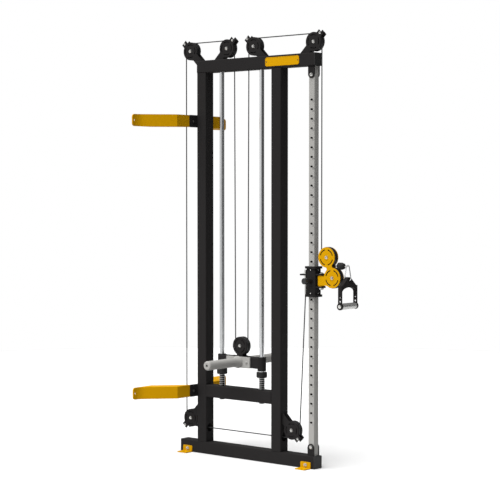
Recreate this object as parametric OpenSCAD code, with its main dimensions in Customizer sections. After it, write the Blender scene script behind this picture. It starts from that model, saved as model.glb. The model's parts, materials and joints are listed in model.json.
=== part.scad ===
// Plate-loaded wall pulley column: a box-section steel frame with a weight carriage on two guide rods,
// one steel cable over nine pulleys, and a height-adjustable trolley whose swivel block carries the handle.
// Millimetres, +Z up. X runs along the beams, -Y is the front. The origin is under the middle of the bay.

/* [Frame] */
// Width and depth of the square frame tube
tube_w = 66; // [58:1:76]
// Height of the three horizontal beams
beam_h = 68; // [60:1:80]
// Wall of the frame tubes
tube_wall = 3; // [2:0.5:5]
// Outside corner radius of the frame tubes
tube_corner = 5; // [3.5:0.5:8]
// Clear distance between the two uprights
bay_w = 466; // [440:1:600]
// Height of the top of the top beam above the floor
frame_h = 2189; // [2140:1:2300]
// Height of the underside of the low crossbeam
crossbeam_z = 320; // [300:1:340]
// Reach of the base beam beyond the left upright
base_reach = 125; // [110:1:180]
// Reach of the base and top beams beyond the right upright
arm_reach = 228; // [224:1:250]
// Thickness of the plastic end caps
cap_t = 3; // [2:0.5:6]
// Diameter of the cable holes through the uprights
cable_hole_d = 46; // [36:1:54]

/* [Adjustment column] */
// Side of the square adjustment column
column_w = 38; // [36:1:42]
// Wall of the adjustment column
column_wall = 2.5; // [1.5:0.5:4]
// Distance from the right upright to the middle of the column
column_off = 197.5; // [195:0.5:201]
// Number of height holes
hole_count = 35; // [12:1:35]
// Spacing of the height holes
hole_pitch = 50; // [25:1:50]
// Height of the lowest hole
first_hole_z = 244; // [240:1:260]
// Diameter of the height holes
hole_d = 12; // [10.5:0.5:14]
// Hole, counted from the lowest as zero, that the trolley is stored at
stored_hole = 15; // [12:1:20]
// Length of the lug plates that hold the column
lug_len = 64; // [56:1:80]
// Thickness of the lug plates
lug_t = 4; // [3:0.5:6]
// Width of the lug plates
lug_w = 43; // [36:1:50]

/* [Guide rods and buffers] */
// Distance between the two guide rods
rod_spacing = 285; // [270:1:300]
// Diameter of the guide rods
rod_d = 25; // [20:1:28]
// Height of the rubber buffer pads
pad_h = 31; // [20:1:40]
// Diameter of the rubber buffer pads
pad_d = 58; // [50:1:62]
// Free height of the buffer springs
spring_h = 66; // [50:1:80]
// Wire diameter of the buffer springs
spring_wire = 4; // [2.5:0.5:4.5]
// Radial room between a guide rod and the spring on it
spring_room = 1.5; // [1:0.5:3]
// Turns of a buffer spring, with its two flat ends
spring_turns = 6.5; // [4.5:1:8.5]

/* [Pulleys and cable] */
// Diameter of the steel cable
cable_d = 6; // [4:0.5:7]
// Distance from a pulley's axis to the middle of the cable
groove_r = 44; // [40:0.5:46]
// Width of a pulley wheel
wheel_w = 22; // [18:1:24]
// Depth of the cable groove below the rim
groove_depth = 9; // [6:0.5:9]
// Space between a pulley's two cheek plates
cheek_gap = 26; // [24:1:30]
// Thickness of a cheek plate
cheek_t = 4; // [3:0.5:6]
// Radius of the round cheek plates
cheek_r = 50; // [48:0.5:54]
// Width of the leg that carries a pulley's cheek plates
leg_w = 42; // [30:1:50]
// Diameter of the pulley axle bolts
axle_d = 12; // [10:1:14]
// Radius of the row of curved slots in a cheek plate
slot_r = 35.5; // [32:0.5:38]
// Width of the curved slots
slot_w = 5; // [3:0.5:6]
// Angle that a curved slot covers
slot_span = 56; // [30:1:64]
// Height of the four top pulley axles above the top beam
top_axle_rise = 58; // [54:1:70]
// Distance of the left pulley axles from the left upright
left_axle_off = 64; // [60:1:70]
// Height of the bottom pulley axles
low_axle_z = 189; // [180:1:200]
// Distance of the bottom right pulley axle from the right upright
right_axle_off = 62; // [60:1:66]
// Distance of the two middle top pulleys from the middle of the bay
mid_axle_off = 95.5; // [92:0.5:100]

/* [Weight carriage] */
// Height of the carriage crossbar
carriage_h = 60; // [50:1:70]
// Depth of the carriage crossbar
carriage_d = 50; // [42:1:56]
// Outside diameter of the guide sleeves
sleeve_d = 47; // [42:1:52]
// Height of the guide sleeves
sleeve_h = 75; // [70:1:90]
// Wall of the bushes in the guide sleeves
bush_wall = 4; // [3:0.5:6]
// Diameter of the weight plate horns
horn_d = 50; // [46:0.5:51]
// Length of a weight plate horn beyond its plate
horn_len = 257; // [180:1:280]
// Wall of a weight plate horn
horn_wall = 4; // [3:0.5:6]
// Thickness of the horn's mounting plate
horn_plate_t = 8; // [5:0.5:10]
// Width of the horn's mounting plate
horn_plate_w = 167; // [140:1:180]
// Height of the carriage pulley axle above the crossbar
carriage_axle_rise = 57; // [54:1:70]

/* [Trolley] */
// Width of the trolley housing
trolley_w = 60; // [56:1:66]
// Depth of the trolley housing
trolley_d = 52; // [48:1:58]
// Height of the trolley housing with its flanges
trolley_h = 161; // [150:1:180]
// Thickness of the two flanges
flange_t = 12; // [8:1:16]
// How far the flanges stand out from the housing
flange_lip = 7; // [5:0.5:7.5]
// Thickness of the nylon glide liners
liner_t = 3; // [2:0.5:4]
// Running gap between the column and the glide liners
liner_gap = 0.3; // [0.2:0.05:0.5]
// Diameter of the locking pin
pin_d = 10; // [7:0.5:10]
// Length of the locking pin's guide barrel
barrel_len = 30; // [26:1:50]
// Diameter of the locking pin's knob
knob_d = 33; // [24:1:36]
// Distance from the housing to the swivel axis
swivel_off = 22.5; // [21:0.5:24]
// Thickness of the two swivel lugs
swivel_lug_t = 8; // [6:0.5:9]
// Diameter of the swivel pin
swivel_pin_d = 14; // [10:1:16]

/* [Swivel block] */
// Radius of the swivel block's round cheeks
block_r = 53; // [52:0.5:58]
// Distance between the swivel block's two axles
block_axle_gap = 113; // [108:0.5:118]
// Lean of the line between the two axles from the vertical
block_lean = 19; // [15:0.5:23]
// Height of the block's arm between the lugs
block_arm_h = 48; // [36:1:52]
// Radius of the row of curved slots in the block's cheeks
block_slot_r = 40; // [34:0.5:42]
// Width of the curved slots in the block's cheeks
block_slot_w = 6; // [3:0.5:7]

/* [Handle] */
// Width of the handle across its arms
handle_w = 140; // [120:1:170]
// Height from the grip's axis to the top of the handle
handle_h = 150; // [135:1:170]
// Depth of the handle's arms
handle_depth = 22; // [16:1:28]
// Thickness of the handle's arms
handle_arm_t = 8; // [6:0.5:12]
// Diameter of the grip
grip_d = 33; // [28:1:36]
// Height of the carabiner
carabiner_h = 85; // [76:1:92]
// Width of the carabiner
carabiner_w = 44; // [38:1:52]
// Diameter of the carabiner's bar
carabiner_bar = 6; // [4:0.5:7]

/* [Rack arms and feet] */
// Height of the rack arms and their tabs
rack_h = 66; // [54:1:70]
// Middle height of the lower pair of rack arms
rack_low_z = 353.5; // [345:0.5:360]
// Middle height of the upper pair of rack arms
rack_high_z = 1854; // [1700:1:1950]
// Thickness of the tab plates on the left upright
tab_t = 5; // [4:0.5:8]
// Reach of a tab beyond the upright's face
tab_reach = 57; // [50:1:70]
// Thickness of the rack arm's web plate
web_t = 5; // [4:0.5:7]
// Thickness of the rack arm's top and bottom plates
rib_t = 4; // [3:0.5:6]
// Straight length of a rack arm in front of the upright
arm_straight = 157; // [140:1:160]
// Sideways offset of a rack arm's far end
arm_offset = 146; // [120:1:150]
// Whole reach of a rack arm beyond the upright's face
arm_total = 355; // [350:1:380]
// Angle of the rack arm's oblique part from the X axis
arm_angle = 47; // [42:1:48]
// Radius of the rack arm's far bend
arm_bend_r = 70; // [50:1:75]
// Width of a floor bracket
foot_w = 66; // [50:1:76]
// Height of a floor bracket
foot_h = 36; // [30:1:50]
// Depth of a floor bracket's foot
foot_depth = 56; // [50:1:110]
// Thickness of a floor bracket
foot_t = 5; // [4:0.5:8]

/* [Name plate] */
// Width of the blank name plate
plate_w = 230; // [150:1:240]
// Height of the blank name plate
plate_h = 48; // [36:1:54]
// Distance from the middle of the bay to the middle of the plate
plate_x = 309; // [290:1:320]

/* [Hidden] */

// Fineness of round parts
$fn = 64;
// Overlap of a cutting tool past the face that it cuts
cut = 1;
// Running clearance on a radius between a shaft and its bore
run = 0.05;
// Clearance between parts that only pass near each other
near = 0.3;

frame_black = [0.17, 0.17, 0.17];
deep_black = [0.08, 0.08, 0.08];
signal_yellow = [0.86, 0.64, 0.0];
steel_grey = [0.66, 0.66, 0.64];
bright_steel = [0.82, 0.83, 0.84];
cable_grey = [0.25, 0.25, 0.25];
rubber_black = [0.1, 0.1, 0.1];
nylon_white = [0.85, 0.85, 0.83];

half_bay = bay_w / 2;
frame_x = half_bay + tube_w;
half_tube = tube_w / 2;
top_z = frame_h - beam_h;
base_x0 = -frame_x - base_reach;
arm_x1 = frame_x + arm_reach;
column_x = frame_x + column_off;
rod_x = rod_spacing / 2;
crossbeam_top = crossbeam_z + beam_h;

axle_z = frame_h + top_axle_rise;
swivel_x = column_x + trolley_w / 2 + swivel_off;
left_axle_x = -frame_x - left_axle_off;
right_axle_x = frame_x + right_axle_off;
last_axle_x = swivel_x - groove_r;
TOP_AXLES = [left_axle_x, -mid_axle_off, mid_axle_off, last_axle_x];
wheel_r = groove_r + groove_depth - cable_d / 2;
cheek_out = cheek_gap / 2 + cheek_t;
ear_r = wheel_r + 10;
ear_end = ear_r + 8.5;
ear_w = 35;
pin_hole_d = 8;

pad_z = crossbeam_top + spring_h;
rest_z = pad_z + pad_h + near;
bush_lip = 4.7;
sleeve_z = rest_z + bush_lip;
bar_z = sleeve_z + (sleeve_h - carriage_h) / 2 + 4;
carriage_axle_z = bar_z + carriage_h + carriage_axle_rise;
bush_d = rod_d + 2 * run + 2 * bush_wall;

pin_z = first_hole_z + stored_hole * hole_pitch;
trolley_z = pin_z - 4.5 - trolley_h / 2;
liner_in = column_w + 2 * liner_gap;
housing_in = liner_in + 2 * liner_t;
anchor_x = column_x - trolley_w / 2 - 23.5;
anchor_z = pin_z + 26;
anchor_lug_end = 27;
anchor_lug_w = 30;
anchor_foot_z = pin_z - 74;

arm_mid_z = pin_z + 1;
arm_low_z = arm_mid_z - block_arm_h / 2;
low_axle_rise = 17.5;
upper_axle = [swivel_x + groove_r, arm_mid_z + low_axle_rise + block_axle_gap * cos(block_lean)];
lower_axle = [upper_axle[0] + block_axle_gap * sin(block_lean), upper_axle[1] - block_axle_gap * cos(block_lean)];
exit_z = upper_axle[1] - groove_r;
stopper_x = lower_axle[0] + 26;
stopper_len = 42;
eye_bar = 5;
eye_r = 8.5;
eye_x = stopper_x + stopper_len + eye_r + eye_bar;
hook_x = eye_x + eye_r;
carabiner_top_z = exit_z + eye_bar / 2 + carabiner_bar + near;
carabiner_foot_z = carabiner_top_z - carabiner_h;
handle_hole_r = carabiner_bar + 1;
hole_z = carabiner_foot_z + carabiner_bar + 1.5 + near - handle_hole_r;
handle_top_z = hole_z + 20;
grip_z = handle_top_z - handle_h;

// Outline of a rectangle with round corners
module round_rect(w, h, r) {
    square([w - 2 * r, h], center = true);
    square([w, h - 2 * r], center = true);
    for (sx = [-1, 1], sy = [-1, 1])
        translate([sx * (w / 2 - r), sy * (h / 2 - r)])
            circle(r);
}

// Hollow section, a by b outside, standing along Z
module box_tube(a, b, wall, corner, length) {
    linear_extrude(length)
        difference() {
            round_rect(a, b, corner);
            round_rect(a - 2 * wall, b - 2 * wall, max(corner - wall, 0.5));
        }
}

// Frame tube along X from x0 to x1 with its underside at z0
module beam(x0, x1, z0) {
    translate([x0, 0, z0 + beam_h / 2])
        rotate([0, 90, 0])
            box_tube(beam_h, tube_w, tube_wall, tube_corner, x1 - x0);
}

// Cylinder along Y between y0 and y1
module rod_y(d, y0, y1) {
    translate([0, y1, 0])
        rotate([90, 0, 0])
            cylinder(d = d, h = y1 - y0);
}

// Cylinder along X between x0 and x1
module rod_x_axis(d, x0, x1) {
    translate([x0, 0, 0])
        rotate([0, 90, 0])
            cylinder(d = d, h = x1 - x0);
}

// Shallow round head of diameter d and height h, its flat side on z = 0
module dome(d, h) {
    ball_r = (d * d / 4 + h * h) / (2 * h);
    rotate_extrude()
        intersection() {
            translate([0, h - ball_r])
                circle(ball_r);
            square([d / 2, h]);
        }
}

// Bolt along Y: domed head and washer in front of y0, hexagon nut behind y1
module bolt_y(d, y0, y1, head_d, nut = true) {
    head_h = head_d * 0.32;
    washer_t = 1.5;
    rod_y(d, y0 - washer_t, y1 + (nut ? d * 0.8 + 2 : 0));
    rod_y(head_d + 4, y0 - washer_t, y0);
    translate([0, y0 - washer_t, 0])
        rotate([90, 0, 0])
            dome(head_d, head_h);
    if (nut)
        translate([0, y1 + d * 0.8, 0])
            rotate([90, 0, 0])
                cylinder(d = d * 1.9, h = d * 0.8, $fn = 6);
}

// One curved slot of a cheek plate, centred on the angle given, at radius r and w wide
module arc_slot(angle, r, w) {
    reach = r + w;
    half = slot_span / 2;
    rotate(angle) {
        intersection() {
            difference() {
                circle(r + w / 2);
                circle(r - w / 2);
            }
            polygon([[0, 0], [reach, -reach * tan(half)], [reach * 1.3, 0], [reach, reach * tan(half)]]);
        }
        for (end = [-half, half])
            rotate(end)
                translate([r, 0])
                    circle(d = w - 0.2, $fn = 24);
    }
}

// Four curved slots, the first one centred on the angle given, at radius r and w wide
module slot_ring(first, r = slot_r, w = slot_w) {
    for (k = [0:3])
        arc_slot(first + 90 * k, r, w);
}

// Cheek outline: a disc, a leg towards leg_dir and a retainer ear on the opposite side where ear_dir is given
module cheek_outline(leg_dir, leg_reach, ear_dir) {
    difference() {
        union() {
            circle(cheek_r);
            rotate(leg_dir)
                translate([0, -leg_w / 2])
                    square([leg_reach, leg_w]);
            rotate(ear_dir)
                translate([0, -ear_w / 2])
                    square([ear_end, ear_w]);
        }
        circle(d = axle_d);
        slot_ring(0);
        rotate(ear_dir)
            translate([ear_r, 0])
                circle(d = pin_hole_d);
    }
}

// Two cheek plates from the outline given as a child, drawn in X and Z around an axle at [x, z]
module cheek_pair(x, z) {
    for (y = [-cheek_gap / 2, cheek_out])
        translate([x, y, z])
            rotate([90, 0, 0])
                linear_extrude(cheek_t)
                    children();
}

// Grooved wheel with its ball bearing, around the axle at [x, z]
module wheel(x, z) {
    hub_r = axle_d / 2 + 10;
    bearing_w = cheek_gap - 2 * near;
    groove_hw = cable_d / 2 + near;
    half_w = wheel_w / 2;
    web_hw = half_w - 5;
    rim_in = groove_r - groove_hw - 5;
    translate([x, 0, z])
        rotate([90, 0, 0]) {
            color(deep_black)
                rotate_extrude()
                    difference() {
                        polygon([[hub_r, -half_w], [hub_r + 5, -half_w], [hub_r + 7, -web_hw], [rim_in - 2, -web_hw],
                            [rim_in, -half_w], [wheel_r - 1, -half_w], [wheel_r, -half_w + 1],
                            [wheel_r, half_w - 1], [wheel_r - 1, half_w], [rim_in, half_w],
                            [rim_in - 2, web_hw], [hub_r + 7, web_hw], [hub_r + 5, half_w], [hub_r, half_w]]);
                        translate([groove_r, 0])
                            circle(groove_hw, $fn = 32);
                        polygon([[groove_r, -groove_hw], [wheel_r + cut, -groove_hw - 2],
                            [wheel_r + cut, groove_hw + 2], [groove_r, groove_hw]]);
                    }
            color(bright_steel)
                rotate_extrude()
                    polygon([[axle_d / 2 + run, -bearing_w / 2], [axle_d / 2 + 3, -bearing_w / 2],
                        [axle_d / 2 + 3, -half_w + 2], [hub_r, -half_w + 2], [hub_r, half_w - 2],
                        [axle_d / 2 + 3, half_w - 2], [axle_d / 2 + 3, bearing_w / 2],
                        [axle_d / 2 + run, bearing_w / 2]]);
        }
}

// Cable bent around an axle at [x, z] from the angle a0, in degrees from +X towards +Z, through the sweep
module cable_arc(x, z, a0, sweep) {
    translate([x, 0, z])
        rotate([90, 0, 0])
            rotate([0, 0, a0])
                rotate_extrude(angle = sweep)
                    translate([groove_r, 0])
                        circle(d = cable_d, $fn = 24);
}

// Straight cable between two points of the cable plane, given as [x, z]
module cable_run(p, q) {
    length = norm(q - p);
    translate([p[0], 0, p[1]])
        rotate([0, atan2(q[0] - p[0], q[1] - p[1]), 0])
            cylinder(d = cable_d, h = length, $fn = 24);
}

// Lean from the vertical of the line from p to q
function lean(p, q) = atan2(q[0] - p[0], q[1] - p[1]);

module base_beam() {
    color(frame_black)
        difference() {
            beam(base_x0 + cap_t, arm_x1 - cap_t, 0);
            for (foot = FEET)
                translate([foot[0] + foot_w / 2, 0, foot_bolt_z])
                    mirror([0, foot[1] > 0 ? 1 : 0, 0])
                        rod_y(foot_bolt_d, -half_tube - cut, -half_tube + tube_wall + cut);
        }
}

module upright(x) {
    color(frame_black)
        difference() {
            translate([x, 0, beam_h])
                box_tube(tube_w, tube_w, tube_wall, tube_corner, top_z - beam_h);
            translate([x, 0, low_axle_z - groove_r])
                rod_x_axis(cable_hole_d, -tube_w / 2 - cut, tube_w / 2 + cut);
        }
}

module left_upright() {
    upright(-half_bay - half_tube);
}

module right_upright() {
    upright(half_bay + half_tube);
}

module low_crossbeam() {
    color(frame_black)
        difference() {
            beam(-half_bay, half_bay, crossbeam_z);
            for (side = [-1, 1])
                translate([side * rod_x, 0, crossbeam_z - cut])
                    cylinder(d = rod_d + 2 * run, h = beam_h + 2 * cut);
        }
}

module top_beam() {
    lift_hole_d = 20;
    lift_x = mid_axle_off - groove_r;
    color(frame_black)
        difference() {
            beam(-frame_x + cap_t, arm_x1 - cap_t, top_z);
            for (side = [-1, 1]) {
                translate([side * rod_x, 0, top_z - cut])
                    cylinder(d = rod_d + 2 * run, h = tube_wall + 2 * cut);
                translate([side * lift_x, 0, top_z - cut])
                    cylinder(d = lift_hole_d, h = beam_h + 2 * cut);
            }
        }
}

// Plastic cap with its plug, on the end of a beam whose middle is at height z; side is -1 on a left end
module end_cap(x, z, side) {
    plug_len = 14;
    plug_gap = 0.2;
    translate([x, 0, z])
        rotate([0, side * 90, 0]) {
            linear_extrude(cap_t)
                round_rect(beam_h, tube_w, tube_corner);
            translate([0, 0, -plug_len])
                box_tube(beam_h - 2 * tube_wall - 2 * plug_gap, tube_w - 2 * tube_wall - 2 * plug_gap, 2,
                    max(tube_corner - tube_wall, 1), plug_len);
        }
}

module beam_end_caps() {
    color(rubber_black) {
        end_cap(base_x0 + cap_t, beam_h / 2, -1);
        end_cap(arm_x1 - cap_t, beam_h / 2, 1);
        end_cap(-frame_x + cap_t, top_z + beam_h / 2, -1);
        end_cap(arm_x1 - cap_t, top_z + beam_h / 2, 1);
    }
}

// Places of the floor brackets: [left edge, side of the beam that it stands on]
foot_in = 22;
foot_step = 32;
FEET = [[base_x0 + foot_in, -1], [base_x0 + foot_in + foot_step, 1],
    [arm_x1 - foot_in - foot_w, -1], [arm_x1 - foot_in - foot_w - foot_step, 1]];
foot_bolt_z = foot_h / 2;
foot_bolt_d = 10;
foot_hole_d = 12;

// Angle bracket on the front of the base, its left edge at x = 0
module floor_bracket() {
    corner = 5;
    difference() {
        union() {
            translate([foot_w / 2, -half_tube, foot_h / 2])
                rotate([90, 0, 0])
                    linear_extrude(foot_t)
                        union() {
                            round_rect(foot_w, foot_h, corner);
                            translate([-foot_w / 2, -foot_h / 2])
                                square([foot_w, foot_h / 2]);
                        }
            translate([foot_w / 2, -half_tube - foot_depth / 2, 0])
                linear_extrude(foot_t)
                    union() {
                        round_rect(foot_w, foot_depth, corner);
                        translate([-foot_w / 2, 0])
                            square([foot_w, foot_depth / 2]);
                    }
        }
        translate([foot_w / 2, 0, foot_bolt_z])
            rod_y(foot_bolt_d, -half_tube - foot_t - cut, -half_tube + cut);
        translate([foot_w / 2, -half_tube - foot_depth * 0.62, -cut])
            cylinder(d = foot_hole_d, h = foot_t + 2 * cut);
    }
}

module floor_brackets() {
    color(signal_yellow)
        for (foot = FEET)
            translate([foot[0], 0, 0])
                mirror([0, foot[1] > 0 ? 1 : 0, 0])
                    floor_bracket();
}

module adjustment_column() {
    color(steel_grey)
        difference() {
            translate([column_x, 0, beam_h])
                box_tube(column_w, column_w, column_wall, max(3, column_wall + 0.5), top_z - beam_h);
            for (k = [0:hole_count - 1])
                translate([column_x, 0, first_hole_z + k * hole_pitch])
                    rod_y(hole_d, -column_w / 2 - cut, -column_w / 2 + column_wall + cut);
            for (z = [beam_h + lug_bolt, top_z - lug_bolt])
                translate([column_x, 0, z])
                    rod_y(lug_bolt_d, -column_w / 2 - cut, column_w / 2 + cut);
        }
}

lug_bolt = lug_len - 18;
lug_bolt_d = 10;

// Lug plate standing up from z = 0 with a round end
module lug_plate() {
    difference() {
        union() {
            translate([-lug_w / 2, 0])
                square([lug_w, lug_len - lug_w / 2]);
            translate([0, lug_len - lug_w / 2])
                circle(lug_w / 2);
        }
        translate([0, lug_bolt])
            circle(d = lug_bolt_d);
    }
}

module column_lugs() {
    color(frame_black)
        for (y = [-column_w / 2, column_w / 2 + lug_t], top = [false, true])
            translate([column_x, y, top ? top_z : beam_h])
                mirror([0, 0, top ? 1 : 0])
                    rotate([90, 0, 0])
                        linear_extrude(lug_t)
                            lug_plate();
}

rod_nut_h = 8;
rod_stub_d = 16;

module guide_rods() {
    color(bright_steel)
        for (side = [-1, 1])
            translate([side * rod_x, 0, 0]) {
                translate([0, 0, crossbeam_z])
                    cylinder(d = rod_d, h = top_z + tube_wall - crossbeam_z);
                translate([0, 0, crossbeam_z - rod_nut_h])
                    cylinder(d = rod_stub_d, h = rod_nut_h + cut);
            }
}

tab_bolt_y = half_tube + tab_reach / 2;
tab_bolt_d = 10;

module rack_tabs() {
    color(frame_black)
        for (z = [rack_low_z, rack_high_z])
            translate([-frame_x - tab_t, 0, z])
                rotate([90, 0, 90])
                    linear_extrude(tab_t)
                        difference() {
                            round_rect(tube_w + 2 * tab_reach, rack_h + 2, 5);
                            for (side = [-1, 1])
                                translate([side * tab_bolt_y, 0])
                                    circle(d = tab_bolt_d);
                        }
}

// Points of an arc about [cx, cy]
function arc_points(cx, cy, r, a0, a1, steps) =
    [for (k = [0:steps]) let (a = a0 + (a1 - a0) * k / steps) [cx + r * cos(a), cy + r * sin(a)]];

arm_face_x = -frame_x - tab_t;
arm_end_x = arm_face_x - arm_offset;
arm_end_y = -half_tube - arm_total;
arm_turn_y = -half_tube - arm_straight;
arm_corner_y = arm_turn_y - arm_offset * tan(arm_angle);
arm_pad_t = 7;
arm_rib_y = -half_tube - tab_reach + 8;
arm_hole_y = arm_end_y + 16;
arm_hole_d = 11;

// Plan of the arm's outer face pushed back by t, from the tab to the far end
function arm_face(t) =
    let (slope = 90 - arm_angle,
        r = arm_bend_r + t,
        start_x = arm_face_x - t,
        turn_y = arm_turn_y + t * tan(slope / 2),
        centre = [arm_end_x + arm_bend_r, arm_corner_y - arm_bend_r * tan(slope / 2)])
    concat([[start_x, -half_tube - 3], [start_x, turn_y]],
        arc_points(centre[0], centre[1], r, 180 - slope, 180, 8),
        [[arm_end_x - t, arm_end_y]]);

// Reverse of a list of points
function reversed(points) = [for (k = [len(points) - 1:-1:0]) points[k]];

// Front rack arm: a bent web plate with ribs above and below, and a thicker pad at its far end
module rack_arm() {
    end_r = 16;
    rib_angle = 47;
    rib_x = arm_end_x - arm_pad_t;
    rib_turn_y = arm_rib_y - (arm_face_x - web_t - rib_x) * tan(rib_angle);
    face = arm_face(0);
    difference() {
        intersection() {
            union() {
                translate([0, 0, -rack_h / 2])
                    linear_extrude(rack_h)
                        polygon(concat(face, reversed(arm_face(web_t))));
                for (z = [-rack_h / 2, rack_h / 2 - rib_t])
                    translate([0, 0, z])
                        linear_extrude(rib_t)
                            polygon(concat([for (k = [1:len(face) - 1]) face[k]],
                                [[rib_x, arm_end_y], [rib_x, rib_turn_y], [arm_face_x - web_t, arm_rib_y],
                                [arm_face_x, arm_rib_y]]));
                translate([rib_x, arm_end_y, -rack_h / 2])
                    cube([arm_pad_t, 36, rack_h]);
            }
            translate([arm_end_x - arm_pad_t - cut, 0, 0])
                rotate([90, 0, 90])
                    linear_extrude(arm_offset + arm_pad_t + web_t + 2 * cut)
                        union() {
                            translate([(arm_end_y + end_r) / 2, 0])
                                square([-arm_end_y - end_r, rack_h], center = true);
                            translate([arm_end_y / 2, 0])
                                square([-arm_end_y, rack_h - 2 * end_r], center = true);
                            for (side = [-1, 1])
                                translate([arm_end_y + end_r, side * (rack_h / 2 - end_r)])
                                    circle(end_r);
                        }
        }
        translate([0, -tab_bolt_y, 0])
            rod_x_axis(tab_bolt_d, arm_face_x - web_t - cut, arm_face_x + cut);
        translate([0, arm_hole_y, 0])
            rod_x_axis(arm_hole_d, arm_end_x - arm_pad_t - cut, arm_end_x + cut);
    }
}

module rack_arm_pair(z) {
    color(signal_yellow)
        for (rear = [0, 1])
            translate([0, 0, z])
                mirror([0, rear, 0])
                    rack_arm();
}

module upper_rack_arms() {
    rack_arm_pair(rack_high_z);
}

module lower_rack_arms() {
    rack_arm_pair(rack_low_z);
}

// Nuts under the guide rods, and the domed bolts of the floor brackets, the column lugs and the rack tabs
module frame_bolts() {
    color(bright_steel) {
        for (side = [-1, 1])
            translate([side * rod_x, 0, crossbeam_z - rod_nut_h])
                difference() {
                    cylinder(d = 30, h = rod_nut_h, $fn = 6);
                    translate([0, 0, -cut])
                        cylinder(d = rod_stub_d, h = rod_nut_h + 2 * cut);
                }
        for (foot = FEET)
            translate([foot[0] + foot_w / 2, 0, foot_bolt_z])
                mirror([0, foot[1] > 0 ? 1 : 0, 0])
                    bolt_y(foot_bolt_d, -half_tube - foot_t, -half_tube + tube_wall + 2, 18, nut = false);
        for (z = [beam_h + lug_bolt, top_z - lug_bolt])
            translate([column_x, 0, z])
                bolt_y(lug_bolt_d, -column_w / 2 - lug_t, column_w / 2 + lug_t, 19);
        for (z = [rack_low_z, rack_high_z], side = [-1, 1])
            translate([-frame_x, side * tab_bolt_y, z])
                rotate([0, 0, 90])
                    bolt_y(tab_bolt_d, 0, tab_t + web_t, 15);
    }
}

module name_plate() {
    color(signal_yellow)
        translate([plate_x, -half_tube, top_z + beam_h / 2])
            rotate([90, 0, 0])
                linear_extrude(2)
                    round_rect(plate_w, plate_h, 12);
}

// Directions, in degrees from +X towards +Z, of each top pulley's leg and ear
TOP_LEGS = [-45, -135, -45, -135];
TOP_EARS = [135, 45, 135, 45];

// Sleeve between the two ears that keeps the cable in the groove, for an axle at [x, z]
module keeper_sleeve(x, z, ear_dir) {
    sleeve_wall = 4;
    half = cheek_gap / 2 - run;
    translate([x + ear_r * cos(ear_dir), 0, z + ear_r * sin(ear_dir)])
        difference() {
            rod_y(pin_hole_d + 2 * sleeve_wall, -half, half);
            rod_y(pin_hole_d + 2 * run, -half - cut, half + cut);
        }
}

module top_pulley_brackets() {
    leg_reach = 130;
    color(frame_black)
        for (k = [0:3]) {
            cheek_pair(TOP_AXLES[k], axle_z)
                difference() {
                    cheek_outline(TOP_LEGS[k], leg_reach, TOP_EARS[k]);
                    translate([-frame_x - TOP_AXLES[k], -top_axle_rise - beam_h - cut])
                        square([arm_x1 + frame_x, beam_h + cut]);
                }
            keeper_sleeve(TOP_AXLES[k], axle_z, TOP_EARS[k]);
        }
}

module bottom_pulley_brackets() {
    leg_reach = 130;
    color(frame_black) {
        cheek_pair(left_axle_x, low_axle_z)
            difference() {
                cheek_outline(45, leg_reach, -135);
                translate([left_axle_off, -leg_reach])
                    square([tube_w * 2, 2 * leg_reach]);
            }
        cheek_pair(right_axle_x, low_axle_z)
            difference() {
                cheek_outline(135, leg_reach, -45);
                translate([-right_axle_off - 2 * tube_w, -leg_reach])
                    square([2 * tube_w, 2 * leg_reach]);
            }
        keeper_sleeve(left_axle_x, low_axle_z, -135);
        keeper_sleeve(right_axle_x, low_axle_z, -45);
    }
}

// Axle bolt of one frame pulley and the retainer bolt in its ear
module pulley_bolt_pair(x, z, ear_dir) {
    translate([x, 0, z])
        bolt_y(axle_d, -cheek_out, cheek_out, 20);
    translate([x + ear_r * cos(ear_dir), 0, z + ear_r * sin(ear_dir)])
        bolt_y(pin_hole_d, -cheek_out, cheek_out, 13);
}

module pulley_bolts() {
    color(bright_steel) {
        for (k = [0:3])
            pulley_bolt_pair(TOP_AXLES[k], axle_z, TOP_EARS[k]);
        pulley_bolt_pair(left_axle_x, low_axle_z, -135);
        pulley_bolt_pair(right_axle_x, low_axle_z, -45);
    }
}

// Lean of the lift cables, which draw in from the top pulleys to the carriage pulley
lift_lean = lean([groove_r, carriage_axle_z], [mid_axle_off - groove_r, axle_z]);
lift_dir = [sin(lift_lean), cos(lift_lean)];
// Lean of the lower column cable, from the bottom right pulley to the trolley's anchor
low_lean = lean([right_axle_x + groove_r, low_axle_z], [anchor_x, anchor_foot_z]);

// Point on a groove at the angle given, about an axle at [x, z]
function on_groove(x, z, angle) = [x + groove_r * cos(angle), z + groove_r * sin(angle)];

// Cable held by the frame's own pulleys: from the left lift run over the left side and low through the uprights
// to the column, and from the right lift run to the top of the column
module frame_cable() {
    color(cable_grey) {
        cable_arc(-mid_axle_off, axle_z, lift_lean, 90 - lift_lean);
        cable_run([left_axle_x, axle_z + groove_r], [-mid_axle_off, axle_z + groove_r]);
        cable_arc(left_axle_x, axle_z, 90, 90);
        cable_run([left_axle_x - groove_r, low_axle_z], [left_axle_x - groove_r, axle_z]);
        cable_arc(left_axle_x, low_axle_z, 180, 90);
        cable_run([left_axle_x, low_axle_z - groove_r], [right_axle_x, low_axle_z - groove_r]);
        cable_arc(right_axle_x, low_axle_z, 270, 90 - low_lean);
        cable_arc(mid_axle_off, axle_z, 90, 90 - lift_lean);
        cable_run([mid_axle_off, axle_z + groove_r], [last_axle_x, axle_z + groove_r]);
        cable_arc(last_axle_x, axle_z, 0, 90);
    }
}

module lift_cables() {
    color(cable_grey)
        for (side = [0, 1])
            mirror([side, 0, 0])
                cable_run(on_groove(0, carriage_axle_z, -lift_lean) + near * lift_dir,
                    on_groove(mid_axle_off, axle_z, 180 - lift_lean) - near * lift_dir);
}

module column_cable_upper() {
    color(cable_grey)
        cable_run([swivel_x, upper_axle[1]], [swivel_x, axle_z]);
}

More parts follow.
